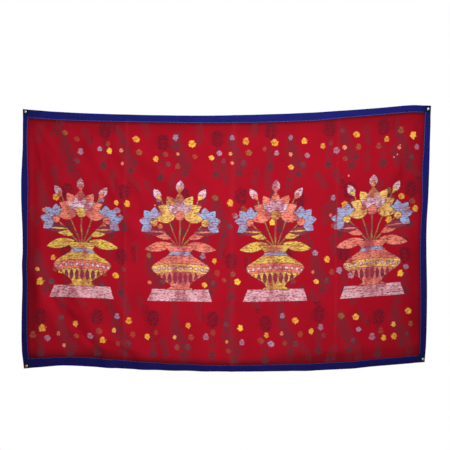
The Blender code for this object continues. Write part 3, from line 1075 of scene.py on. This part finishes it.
CREASE_RED = (196, 66, 84)
# The thread's colour towards the bottom, in painted shade
SHADED_THREAD = (52, 34, 84)
TACK_RING_DARK = (6, 20, 24)
FLOOR_GREY = (226, 224, 220)
WEAVE_DEPTH = 0.00035
MATT_COTTON = {"roughness": 0.85, "Specular_IOR_Level": 0.12}
Metal = namedtuple("Metal", "clean dull")
METALS = {
    "steel": Metal((226, 240, 246), (120, 132, 138)),
    "brass": Metal((255, 206, 140), (150, 92, 48)),
}


def flat_place(shader):
    """The place on the cloth's map in metres, as across and down."""
    u, v, _ = shader.parts(shader.map_place())
    return u * MAP_SIDE, shader.math("MULTIPLY_ADD", v, -MAP_SIDE, MAP_SIDE)


def red_ground(shader, place):
    """The dyed red of the cotton, a little uneven and slubbed."""
    dark, bright = settings().red_dark, settings().red_bright
    red = shader.paint((*dark, 1.0), (*bright, 1.0), shader.grain(place, 0.16, 3.0))
    slubs = shader.grain(place, (0.030, 0.0016, 1.0), 1.0) * 0.16 + shader.grain(place, 0.004, 1.0) * 0.16
    return shader.shade(red, slubs + 0.84)


def cotton_bump(shader, place, relief=0.0):
    """The weave's fine grain, and any paint that stands on it."""
    weave = shader.grain(place, (0.0035, 0.0012, 1.0), 1.0)
    shader.bump(weave * 0.4 + relief, WEAVE_DEPTH)


def crease_wear(shader, across):
    """How far the old folds have rubbed the cloth."""
    lines = 0.0
    for crease in CREASES:
        lines = shader.bell((across - crease.across) / crease.wear) + lines
    return lines


def paint_binding_shade(shader, colour):
    """The ground, darkened by painted shade in a soft band along the binding."""
    near, low, side = shader.parts(shader.attribute("margin"))
    return shader.shade(colour, (1.0 - near) * (1.0 - low) * (1.0 - side))


def make_painted_cotton():
    """The front of the cloth: red cotton with block-printed plants, dabbed blossoms and painted vases."""
    shader = Shader("painted_red_cotton", **MATT_COTTON)
    across, down = flat_place(shader)
    place = shader.vector(across, down)
    colour = paint_binding_shade(shader, red_ground(shader, place))
    ink, cover = printed_ink(shader, place, settings().print_strength)
    colour = shader.paint(colour, ink, cover)
    colour = lay_blossoms(shader, colour)
    paint, cover = painted_vases(shader)
    rubbed = crease_wear(shader, across)
    worn = shader.above(shader.grain(place, (0.006, 0.020, 1.0), 2.0) + rubbed * 0.30, 0.62, 0.25) * rubbed
    cover = cover * (1.0 - worn * 0.85)
    colour = shader.paint(colour, paint, cover)
    colour = shader.paint(colour, linear(CREASE_RED), rubbed * shader.grain(place, 0.010, 2.0) * 0.12)
    cotton_bump(shader, place, cover * 0.5)
    return shader.finish(colour)


def make_cotton_back():
    """The back of the cloth: bare red cotton, with the print showing through faintly."""
    shader = Shader("red_cotton_back", **MATT_COTTON)
    across, down = flat_place(shader)
    place = shader.vector(across, down)
    colour = red_ground(shader, place)
    ink, cover = printed_ink(shader, place, settings().print_strength * 0.35)
    colour = shader.paint(colour, ink, cover)
    cotton_bump(shader, place)
    return shader.finish(colour)


def make_navy_cotton():
    """The binding's navy cotton, lighter towards the top and the right: partly fading, partly painted light.
    """
    shader = Shader("navy_cotton_binding", 0.80, Specular_IOR_Level=0.15)
    place = shader.object_place()
    x, _, z = shader.parts(place)
    dark, bright = settings().navy_dark, settings().navy_bright
    # Lighter towards the top and the right: partly fading, partly painted light
    fade_and_painted_light = shader.above(z + x * 0.14, -0.55, 1.5)
    colour = shader.paint((*dark, 1.0), (*bright, 1.0), fade_and_painted_light)
    streaks = shader.grain(shader.map_place(), (0.050, 0.0026, 1.0), 2.0)
    colour = shader.shade(colour, shader.grain(place, 0.03, 3.0) * 0.5 + streaks * 0.9 + 0.30)
    colour = shader.paint(colour, linear(TACK_RING_DARK), tack_dark_ring(shader, place))
    cotton_bump(shader, place)
    return shader.finish(colour)


def tack_seat(node):
    """The place where a tack's head rests on the cloth, in the middle of its solid."""
    low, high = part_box(node)
    return (low.x + high.x) / 2, -TACK_SEAT, (low.z + high.z) / 2


def tack_dark_ring(shader, place):
    """How dark the binding is painted round each tack."""
    stain = 0.0
    for node in TACKS:
        stain = shader.bell(shader.distance(place, tack_seat(node)) / TACK_RING_REACH) + stain
    return stain * 0.97


def make_thread():
    """The sewing thread, pale along the top edge and darker towards the bottom in painted shade."""
    shader = Shader("pale_thread", 0.75)
    place = shader.object_place()
    _, _, z = shader.parts(place)
    unshaded = shader.above(z, -0.45, 1.2) * 0.62 + 0.38
    colour = shader.paint(linear(SHADED_THREAD), (*settings().thread, 1.0), unshaded)
    colour = shader.shade(colour, shader.grain(place, 0.004, 1.0) * 0.5 + 0.70)
    return shader.finish(colour)


def make_metal(name):
    """A tack's metal, tarnished in spots."""
    shader = Shader("tack_" + name, 0.50, Metallic=0.88)
    place = shader.object_place()
    spots = shader.above(shader.grain(place, 0.0030, 3.0), 0.56, 0.16)
    shader.feed(shader.surface.inputs["Roughness"], spots * 0.25 + 0.42)
    return shader.finish(shader.paint(linear(METALS[name].clean), linear(METALS[name].dull), spots))


# The cloth and its pattern


def plant_feet():
    """Each printed plant's foot on the flat cloth, and its kind: 0 is the tall one, 1 the narrow one."""
    draw = random.Random(PLANT_SEED)
    feet = []
    for row in PRINT_ROWS:
        for kind, first in enumerate((row.first_tall, row.first_narrow)):
            for spot in np.arange(first, CLOTH_WIDTH - PLANT_MARGIN, row.pitch):
                across = spot + draw.uniform(-1, 1) * PLANT_JITTER.x
                feet.append((across, row.down + draw.uniform(-1, 1) * PLANT_JITTER.y, kind))
    return feet


def blossom_spots(feet):
    """Every blossom's place, radius, phase and paint. Each plant draws its own paints."""
    draw = random.Random(BLOSSOM_SEED)
    spots = []

    def dab(across, down, name, size):
        paint = BLOSSOM_PAINTS[name]
        look = linear(paint.colour, paint.cover * draw.uniform(*COVER_SHARES))
        spots.append((across, down, paint.radius * size, draw.random(), *look))

    for across, down, kind in feet:
        choice = draw.randrange(4)
        for blossom in NARROW_BLOSSOMS if kind else TALL_BLOSSOMS:
            slip = [draw.uniform(-BLOSSOM_SLIP, BLOSSOM_SLIP) for _ in range(2)]
            name = blossom.paints[choice if draw.random() < OWN_PAINT_CHANCE else draw.randrange(4)]
            if name in BLOSSOM_PAINTS:
                place = across + blossom.right + slip[0], down - blossom.up + slip[1]
                dab(*place, name, draw.uniform(*BLOSSOM_SIZES))
    for across, down in SPECKS:
        dab(across, down, "speck", draw.uniform(*SPECK_SIZES))
    return np.array(spots)


def fern_places(feet):
    """Ferns in the gaps between the plants, each as the middle of its frond, its lean and its ink."""
    draw = random.Random(FERN_SEED)
    taken = [(across, (down - PLANT_MIDDLE) * 0.5) for across, down, _ in feet]
    ferns = []

    def room(spot):
        return min(math.dist((spot[0], spot[1] * 0.5), other) for other in taken)

    for _ in range(FERN_COUNT):
        choices = []
        for _ in range(FERN_CHOICES):
            across = draw.uniform(FERN_MARGIN, CLOTH_WIDTH - FERN_MARGIN)
            choices.append((across, draw.uniform(FERN_MARGIN, CLOTH_HEIGHT - FERN_MARGIN)))
        across, down = max(choices, key=room)
        taken.append((across, down * 0.5))
        ferns.append((across, down, draw.uniform(-FERN_LEAN, FERN_LEAN), draw.uniform(*FERN_INK)))
    return ferns


def mark_plants(mesh, corners, centres, face, feet):
    """Tell each corner its place from the foot of the plant that its face belongs to."""
    feet = np.array(feet)
    reach = np.where(feet[:, 2:] > 0.5, NARROW_REACH, TALL_REACH)
    off_a = (centres[None, :, 0] - feet[:, 0:1]) / reach
    off_d = (feet[:, 1:2] - centres[None, :, 1] - PLANT_MIDDLE) / PLANT_RISE
    near = feet[np.argmin(off_a**2 + off_d**2, axis=0)][face]
    give_corners(mesh, "plant", [corners[:, 0] - near[:, 0], near[:, 1] - corners[:, 1], near[:, 2]])


def turned_places(points, across, down, lean):
    """How far points of the flat cloth are to the right of a place and above it, in a frame that leans."""
    c, s = math.cos(lean), math.sin(lean)
    right, up = points[:, 0] - across, down - points[:, 1]
    return right * c + up * s, up * c - right * s


def mark_ferns(mesh, corners, centres, face, ferns):
    """Tell each corner its place from the middle of the fern that its face belongs to, if any."""
    local = np.tile([1.0, 1.0, 0.0], (len(corners), 1))
    for across, down, lean, ink in ferns:
        right, up = turned_places(centres, across, down, lean)
        inside = ((np.abs(right) < FERN_REACH.x) & (np.abs(up) < FERN_REACH.y))[face]
        right, up = turned_places(corners, across, down, lean)
        local[inside] = np.stack([right, up, np.full(len(up), ink)], axis=1)[inside]
    give_corners(mesh, "fern", local.T)


def mark_blossoms(mesh, corners, centres, face, spots):
    """Tell each corner its place in the blossom that its face belongs to, with the blossom's paint."""
    off_a = (centres[None, :, 0] - spots[:, 0:1]) / spots[:, 2:3]
    off_d = (centres[None, :, 1] - spots[:, 1:2]) / spots[:, 2:3]
    near = spots[np.argmin(off_a**2 + off_d**2, axis=0)][face]
    right = (corners[:, 0] - near[:, 0]) / near[:, 2]
    up = (near[:, 1] - corners[:, 1]) / near[:, 2]
    give_corners(mesh, "blossom", [right, up, near[:, 3]])
    give_corners(mesh, "blossom_paint", near[:, 4:8].T, "color")


def mark_painted_binding_shade(mesh, corners):
    """Tell each corner how much painted shade darkens it beside the strips: close to them, and in broader
    bands.
    """
    across, down = corners[:, 0], corners[:, 1]
    below = CLOTH_HEIGHT - band_width("bottom", across) - down
    left = across - band_width("left", down)
    right = CLOTH_WIDTH - band_width("right", down) - across
    top = down - band_width("top", across)
    near = np.interp(across, BOTTOM_SHADES.across, BOTTOM_SHADES.near) * bell(below / NEAR_REACH)
    for depth, distance in zip(EDGE_SHADE, (left, top, right)):
        near = near + (1.0 - near) * depth * bell(distance / EDGE_REACH)
    low = np.interp(across, BOTTOM_SHADES.across, BOTTOM_SHADES.broad) * bell(below / BROAD_REACH, 4)
    low += TOP_SHADE * bell(top / BROAD_REACH, 4)
    side = np.interp(down, SIDE_SHADES.down, SIDE_SHADES.left) * bell(left / BROAD_REACH, 4)
    side += np.interp(down, SIDE_SHADES.down, SIDE_SHADES.right) * bell(right / BROAD_REACH, 4)
    give_corners(mesh, "margin", [near, low, side])


def mark_vases(mesh, corners, centres, face):
    """Tell each corner its place from the foot of the vase that its face belongs to, if any."""
    local = np.tile([1.0, 1.0, 0.0], (len(corners), 1))
    up = VASE_FOOT - centres[:, 1]
    tall = (up > -VASE_MARGIN) & (up < VASE_HEIGHT + VASE_MARGIN)
    for index, across in enumerate(VASE_ACROSS):
        inside = (tall & (np.abs(centres[:, 0] - across) < VASE_HALF_WIDTH))[face]
        right = corners[:, 0] - across
        rise = VASE_FOOT - corners[:, 1]
        local[inside] = np.stack([right, rise, np.full(len(right), index)], axis=1)[inside]
    give_corners(mesh, "vase", local.T)


def map_cloth(mesh, corners, back):
    """Lay the front of the cloth above its back on the cloth's map."""
    across, down = corners[:, 0], corners[:, 1]
    u = np.where(back, CLOTH_WIDTH - across, across) / MAP_SIDE
    v = 1.0 - np.where(back, down + BACK_SHIFT, down) / MAP_SIDE
    give_map(mesh, u, v)


def build_cloth(name):
    """The cloth as a closed sheet: laid out flat, mapped, marked with its pattern and then hung."""
    sheet = bmesh.new()
    bmesh.ops.create_grid(sheet, x_segments=CLOTH_COLUMNS, y_segments=CLOTH_ROWS, size=0.5)
    size = (CLOTH_WIDTH - 2 * PANEL_INSET, CLOTH_HEIGHT - 2 * PANEL_INSET, 1.0)
    bmesh.ops.scale(sheet, vec=size, verts=sheet.verts)
    bmesh.ops.rotate(sheet, cent=(0.0, 0.0, 0.0), matrix=UPRIGHT, verts=sheet.verts)
    corner = (CLOTH_WIDTH / 2, -CLOTH_THICKNESS / 2, -CLOTH_HEIGHT / 2)
    bmesh.ops.translate(sheet, vec=corner, verts=sheet.verts)
    layer = bmesh.ops.extrude_face_region(sheet, geom=sheet.faces[:], use_keep_orig=True)
    back = [part for part in layer["geom"] if isinstance(part, bmesh.types.BMVert)]
    bmesh.ops.translate(sheet, vec=(0.0, CLOTH_THICKNESS, 0.0), verts=back)
    bmesh.ops.recalc_face_normals(sheet, faces=sheet.faces)
    for face in sheet.faces:
        face.material_index = 1 if face.normal.y > 0.5 else 0
    mesh = finished_mesh(name, sheet)
    flat = vertex_places(mesh)
    places = np.stack([flat[:, 0], -flat[:, 2]], axis=1)
    corners = places[corner_vertices(mesh)]
    face = face_of_corner(mesh)
    counts = np.bincount(face)
    centres = np.stack([np.bincount(face, corners[:, axis]) / counts for axis in (0, 1)], axis=1)
    map_cloth(mesh, corners, read_field(mesh.polygons, "material_index")[face] > 0)
    feet = plant_feet()
    mark_plants(mesh, corners, centres, face, feet)
    mark_ferns(mesh, corners, centres, face, fern_places(feet))
    mark_blossoms(mesh, corners, centres, face, blossom_spots(feet))
    mark_vases(mesh, corners, centres, face)
    mark_painted_binding_shade(mesh, corners)
    hung = cloth_points(places[:, 0], places[:, 1], -flat[:, 1])
    mesh.vertices.foreach_set("co", hung.ravel())
    mesh.materials.append(make_painted_cotton())
    mesh.materials.append(make_cotton_back())
    return mesh


# The binding


def strip_section(step):
    """A binding strip's section, from its front leaf round the fold to its back leaf.

    Each point has its share of the leaf's width, its inset in the fold and its place forward.
    """
    middle = step + STRIP_THICKNESS / 2
    turns = [math.pi / 2 * (1 - 2 * index / FOLD_STEPS) for index in range(FOLD_STEPS + 1)]
    fold = [(0.0, middle - step * math.cos(turn), step * math.sin(turn)) for turn in turns]
    front = [(share, middle, step) for share in LEAF_SHARES]
    back = [(share, middle, -step) for share in reversed(LEAF_SHARES)]
    return np.array(front + fold + back)


def band_width(side, along):
    """The binding's width at places along a side."""
    length = CLOTH_WIDTH if side in LEVEL_SIDES else CLOTH_HEIGHT
    return edge_offset(BAND_WIDTHS[side], along / length)


def strip_place(side, along, inset):
    """A place on the flat cloth, given how far along a side it is and how far in from the edge."""
    if side == "top":
        return along, inset
    if side == "bottom":
        return along, CLOTH_HEIGHT - inset
    if side == "left":
        return inset, along
    return CLOTH_WIDTH - inset, along


def build_strip(name, side, stations, step, material):
    """One folded strip along one side of the cloth."""
    section = strip_section(step)
    cells = len(stations) - 1, len(section) - 1
    grid = bmesh.new()
    bmesh.ops.create_grid(grid, x_segments=cells[0], y_segments=cells[1], size=0.5)
    mesh = finished_mesh(name, grid, material)
    raw = vertex_places(mesh)
    along = stations[np.rint((raw[:, 0] + 0.5) * cells[0]).astype(int)]
    turn = np.rint((0.5 - raw[:, 1]) * cells[1]).astype(int)
    share, inset, forward = section[turn].T
    inset = inset + share * (band_width(side, along) - section[0, 1])
    across, down = strip_place(side, along, inset)
    mesh.vertices.foreach_set("co", cloth_points(across, down, forward).ravel())
    widest = section * (TOP_BAND, 1.0, 1.0)
    unrolled = np.concatenate([[0.0], np.cumsum(np.abs(np.diff(widest, axis=0)).max(axis=1))])
    corner = corner_vertices(mesh)
    give_map(mesh, along[corner] / STRIP_MAP_SIDE, unrolled[turn[corner]] / STRIP_MAP_SIDE)
    strip = add_piece(name, mesh)
    thickness = strip.modifiers.new("thickness", "SOLIDIFY")
    thickness.thickness = STRIP_THICKNESS
    thickness.offset = 0.0
    return strip


# Sewing


def stitch_line(side, start, end, forward, draw):
    """Where each stitch of one row lies: a matrix that shapes, turns and places a small ball."""
    along = np.arange(start, end, settings().stitch_pitch)
    level = band_width(side, along) - STITCH_INSET
    starts = cloth_points(*strip_place(side, along, level), forward)
    ends = cloth_points(*strip_place(side, along + STITCH_STEP, level), forward)
    out = Vector((0.0, -1.0, 0.0))
    places = []
    for start_point, end_point in zip(starts, ends):
        run = Vector(end_point - start_point).normalized()
        run = Matrix.Rotation(draw.uniform(-STITCH_TILT, STITCH_TILT), 3, out) @ run
        length = settings().stitch_length * draw.uniform(0.85, 1.10)
        axes = run * length, out.cross(run) * STITCH_WIDTH, out * STITCH_HEIGHT
        turn = Matrix([axis / 2 for axis in axes]).transposed().to_4x4()
        places.append(Matrix.Translation(Vector(start_point)) @ turn)
    return places


def build_sewing(name):
    """The running stitches that hold the binding, as one mesh."""
    draw = random.Random(STITCH_SEED)
    inner = INNER_STEP + STRIP_THICKNESS / 2 + STITCH_LIFT
    outer = OUTER_STEP + STRIP_THICKNESS / 2 + STITCH_LIFT
    near, far = SIDE_BAND + ROW_INSET, CLOTH_WIDTH - SIDE_BAND - ROW_INSET
    high, low = TOP_BAND - STITCH_INSET, CLOTH_HEIGHT - BOTTOM_BAND - STITCH_INSET
    places = []
    for side in LEVEL_SIDES:
        places += stitch_line(side, near, far, inner, draw)
    for side in UPRIGHT_SIDES:
        places += stitch_line(side, high, low, outer, draw)
    sewing = bmesh.new()
    group_mesh = bpy.data.meshes.new("stitch_group")
    for first in range(0, len(places), STITCH_GROUP):
        group = bmesh.new()
        for place in places[first : first + STITCH_GROUP]:
            bmesh.ops.create_uvsphere(group, u_segments=6, v_segments=4, radius=1.0, matrix=place)
        group.to_mesh(group_mesh)
        group.free()
        sewing.from_mesh(group_mesh)
    bpy.data.meshes.remove(group_mesh)
    bmesh.ops.recalc_face_normals(sewing, faces=sewing.faces)
    return finished_mesh(name, sewing, make_thread())


# Tacks


def tack_profile():
    """A tack's outer side from the top of its dome to its point, as radius and height above its seat."""
    turns = [math.pi / 2 * step / DOME_STEPS for step in range(DOME_STEPS + 1)]
    rise = HEAD_RISE - RIM_THICKNESS
    dome = [(HEAD_RADIUS * math.sin(turn), RIM_THICKNESS + rise * math.cos(turn)) for turn in turns]
    shank = [
        (HEAD_RADIUS * 0.98, 0.0002),
        (HEAD_RADIUS * 0.92, 0.0),
        (SHANK_RADIUS * 1.2, 0.0),
        (SHANK_RADIUS, -0.0004),
        (SHANK_RADIUS, -TACK_SEAT - TAPER_START),
        (SHANK_RADIUS * 0.45, -TACK_SEAT - POINT_DEPTH + 0.0016),
        (0.0, -TACK_SEAT - POINT_DEPTH),
    ]
    return dome + shank


def build_tack(name, node, material):
    """One domed tack, spun about its shank, in the place of its solid."""
    tack = bmesh.new()
    verts = [tack.verts.new((radius, 0.0, height)) for radius, height in tack_profile()]
    edges = [tack.edges.new(pair) for pair in zip(verts, verts[1:])]
    bmesh.ops.spin(
        tack,
        geom=verts + edges,
        cent=(0.0, 0.0, 0.0),
        axis=(0.0, 0.0, 1.0),
        angle=2 * math.pi,
        steps=TACK_STEPS,
        use_merge=True,
    )
    bmesh.ops.remove_doubles(tack, verts=tack.verts, dist=0.00001)
    bmesh.ops.recalc_face_normals(tack, faces=tack.faces)
    bmesh.ops.rotate(tack, cent=(0.0, 0.0, 0.0), matrix=UPRIGHT, verts=tack.verts)
    bmesh.ops.translate(tack, vec=tack_seat(node), verts=tack.verts)
    return finished_mesh(name, tack, material)


# The stage


def add_lamp(lamp):
    """A soft studio light that looks at a point."""
    light = bpy.data.lights.new(lamp.name, lamp.kind)
    light.energy = lamp.watts
    for setting, value in lamp.shape.items():
        setattr(light, setting, value)
    piece = add_object(lamp.name, light)
    piece.location = lamp.place
    piece.rotation_euler = (Vector(lamp.target) - piece.location).to_track_quat("-Z", "Y").to_euler()


def add_world():
    """A white backdrop that lights the hanging more softly than it shows."""
    world = bpy.data.worlds.new("white_backdrop")
    world.use_nodes = True
    nodes = world.node_tree.nodes
    links = world.node_tree.links
    backdrop = nodes["Background"]
    backdrop.inputs["Color"].default_value = (1.0, 1.0, 1.0, 1.0)
    path = nodes.new("ShaderNodeLightPath")
    level = nodes.new("ShaderNodeMapRange")
    level.inputs["To Min"].default_value = BACKDROP_LIGHT
    level.inputs["To Max"].default_value = 1.0
    links.new(path.outputs["Is Camera Ray"], level.inputs["Value"])
    links.new(level.outputs["Result"], backdrop.inputs["Strength"])
    bpy.context.scene.world = world


def add_floor():
    """A pale round floor, well below the hanging."""
    disc = bmesh.new()
    bmesh.ops.create_circle(disc, cap_ends=True, segments=96, radius=FLOOR_RADIUS)
    bmesh.ops.translate(disc, vec=(0.0, 0.0, CAD_BOX[0].z - FLOOR_DROP), verts=disc.verts)
    pale = Shader("pale_floor", 0.8, Base_Color=linear(FLOOR_GREY)).material
    add_object("floor", finished_mesh("floor", disc, pale))


def add_camera():
    """The camera, square to the wall, so that the cloth fills the photograph's frame."""
    camera = bpy.data.cameras.new("camera")
    camera.lens = LENS
    camera.sensor_width = SENSOR
    piece = add_object("camera", camera)
    back = VIEW_WIDTH * LENS / SENSOR + CLOTH_MIDDLE
    piece.location = VIEW_MIDDLE + Vector((0.0, -back, 0.0))
    piece.rotation_euler = (math.pi / 2, 0.0, 0.0)
    bpy.context.scene.camera = piece
    bpy.context.scene.view_settings.view_transform = "Standard"


# Settings, operators and panel


COLOUR = {"size": 3, "min": 0.0, "max": 1.0}
SHARE = {"min": 0.0, "max": 1.0}


class HangingSettings(bpy.types.PropertyGroup):
    """The sizes and colours of the hanging that can be changed before it is built."""

    red_dark: FloatVectorProperty(
        name="Red, deep",
        description="The cloth's red where the dye is deepest",
        default=linear((148, 4, 28))[:3],
        subtype="COLOR",
        **COLOUR,
    )
    red_bright: FloatVectorProperty(
        name="Red, bright",
        description="The cloth's red where the dye is brightest",
        default=linear((178, 5, 31))[:3],
        subtype="COLOR",
        **COLOUR,
    )
    navy_dark: FloatVectorProperty(
        name="Navy, deep",
        description="The binding's navy at the bottom",
        default=linear((12, 8, 77))[:3],
        subtype="COLOR",
        **COLOUR,
    )
    # The navy at the top is partly faded and partly lighter from painted light
    navy_bright: FloatVectorProperty(
        name="Navy, faded",
        description="The binding's navy at the top",
        default=linear((20, 24, 109))[:3],
        subtype="COLOR",
        **COLOUR,
    )
    thread: FloatVectorProperty(
        name="Thread",
        description="The sewing thread's colour",
        default=linear((182, 140, 166))[:3],
        subtype="COLOR",
        **COLOUR,
    )
    print_strength: FloatProperty(
        name="Print strength",
        description="How dark the block-printed plants are",
        default=0.84,
        subtype="FACTOR",
        **SHARE,
    )
    paint_wear: FloatProperty(
        name="Paint wear",
        description="How far the painted vases are rubbed",
        default=0.90,
        subtype="FACTOR",
        **SHARE,
    )
    ripple_height: FloatProperty(
        name="Ripple height",
        description="The height of the cloth's slow unevenness",
        default=0.0012,
        min=0.0,
        max=0.004,
        precision=4,
        unit="LENGTH",
    )
    pucker_height: FloatProperty(
        name="Pucker height",
        description="The height of the puckers beside the binding",
        default=0.0010,
        min=0.0,
        max=0.003,
        precision=4,
        unit="LENGTH",
    )
    roll_height: FloatProperty(
        name="Roll height",
        description="The height of the roll beside the binding at the bottom and the left",
        default=0.0028,
        min=0.0,
        max=0.005,
        precision=4,
        unit="LENGTH",
    )
    stitch_pitch: FloatProperty(
        name="Stitch pitch",
        description="From the start of one stitch to the start of the next",
        default=0.0062,
        min=0.004,
        max=0.02,
        precision=4,
        unit="LENGTH",
    )
    stitch_length: FloatProperty(
        name="Stitch length",
        description="The length of one stitch that shows",
        default=0.0042,
        min=0.002,
        max=0.015,
        precision=4,
        unit="LENGTH",
    )


def settings():
    """The settings that the hanging is built from."""
    return bpy.context.scene.hanging_settings


class HANGING_OT_tacks(bpy.types.Operator):
    """Build the four domed tacks"""

    bl_idname = "hanging.tacks"
    bl_label = "Tacks"

    def execute(self, context):
        metals = {name: make_metal(name) for name in METALS}
        for node in TACKS:
            metal = "brass" if node in BRASS_TACKS else "steel"
            name = "domed_" + node
            piece = add_piece(name, build_tack(name, node, metals[metal]))
            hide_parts(node)
        return {"FINISHED"}


class HANGING_OT_binding(bpy.types.Operator):
    """Build the four folded strips that bind the cloth"""

    bl_idname = "hanging.binding"
    bl_label = "Binding"

    def execute(self, context):
        navy = make_navy_cotton()
        columns = np.linspace(PANEL_INSET, CLOTH_WIDTH - PANEL_INSET, CLOTH_COLUMNS + 1)
        rows = np.linspace(PANEL_INSET, CLOTH_HEIGHT - PANEL_INSET, CLOTH_ROWS + 1)
        rows = np.concatenate([[0.0], rows, [CLOTH_HEIGHT]])
        for side in LEVEL_SIDES + UPRIGHT_SIDES:
            stations, step = (columns, INNER_STEP) if side in LEVEL_SIDES else (rows, OUTER_STEP)
            strip = build_strip("strip_" + side, side, stations, step, navy)
            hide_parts("binding_" + side)
        return {"FINISHED"}


class HANGING_OT_sewing(bpy.types.Operator):
    """Sew the running stitches along the binding"""

    bl_idname = "hanging.sewing"
    bl_label = "Sewing"

    def execute(self, context):
        add_piece("running_stitches", build_sewing("running_stitches"))
        return {"FINISHED"}


class HANGING_OT_cloth(bpy.types.Operator):
    """Build the painted cloth with its folds"""

    bl_idname = "hanging.cloth"
    bl_label = "Painted cloth"

    def execute(self, context):
        cloth = add_piece("painted_cloth", build_cloth("painted_cloth"))
        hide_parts("panel")
        return {"FINISHED"}


class HANGING_OT_stage(bpy.types.Operator):
    """Set the camera, lights, backdrop and floor"""

    bl_idname = "hanging.stage"
    bl_label = "Stage"

    def execute(self, context):
        add_camera()
        add_world()
        add_floor()
        for lamp in LAMPS:
            add_lamp(lamp)
        return {"FINISHED"}


class HANGING_PT_pieces(bpy.types.Panel):
    """The settings of the hanging, and a button for each of its pieces"""

    bl_label = "Painted wall hanging"
    bl_space_type = "VIEW_3D"
    bl_region_type = "UI"
    bl_category = "Hanging"

    def draw(self, context):
        for name in HangingSettings.__annotations__:
            self.layout.prop(context.scene.hanging_settings, name)
        for operator in OPERATORS:
            self.layout.operator(operator.bl_idname)


OPERATORS = (
    HANGING_OT_tacks,
    HANGING_OT_binding,
    HANGING_OT_sewing,
    HANGING_OT_cloth,
    HANGING_OT_stage,
)
CLASSES = (HangingSettings, *OPERATORS, HANGING_PT_pieces)


def register():
    for item in CLASSES:
        bpy.utils.register_class(item)
    bpy.types.Scene.hanging_settings = PointerProperty(type=HangingSettings)


def unregister():
    del bpy.types.Scene.hanging_settings
    for item in reversed(CLASSES):
        bpy.utils.unregister_class(item)


def main():
    register()
    bpy.ops.hanging.tacks()
    bpy.ops.hanging.binding()
    bpy.ops.hanging.sewing()
    bpy.ops.hanging.cloth()
    bpy.ops.hanging.stage()
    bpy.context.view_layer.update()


if __name__ == "__main__":
    main()
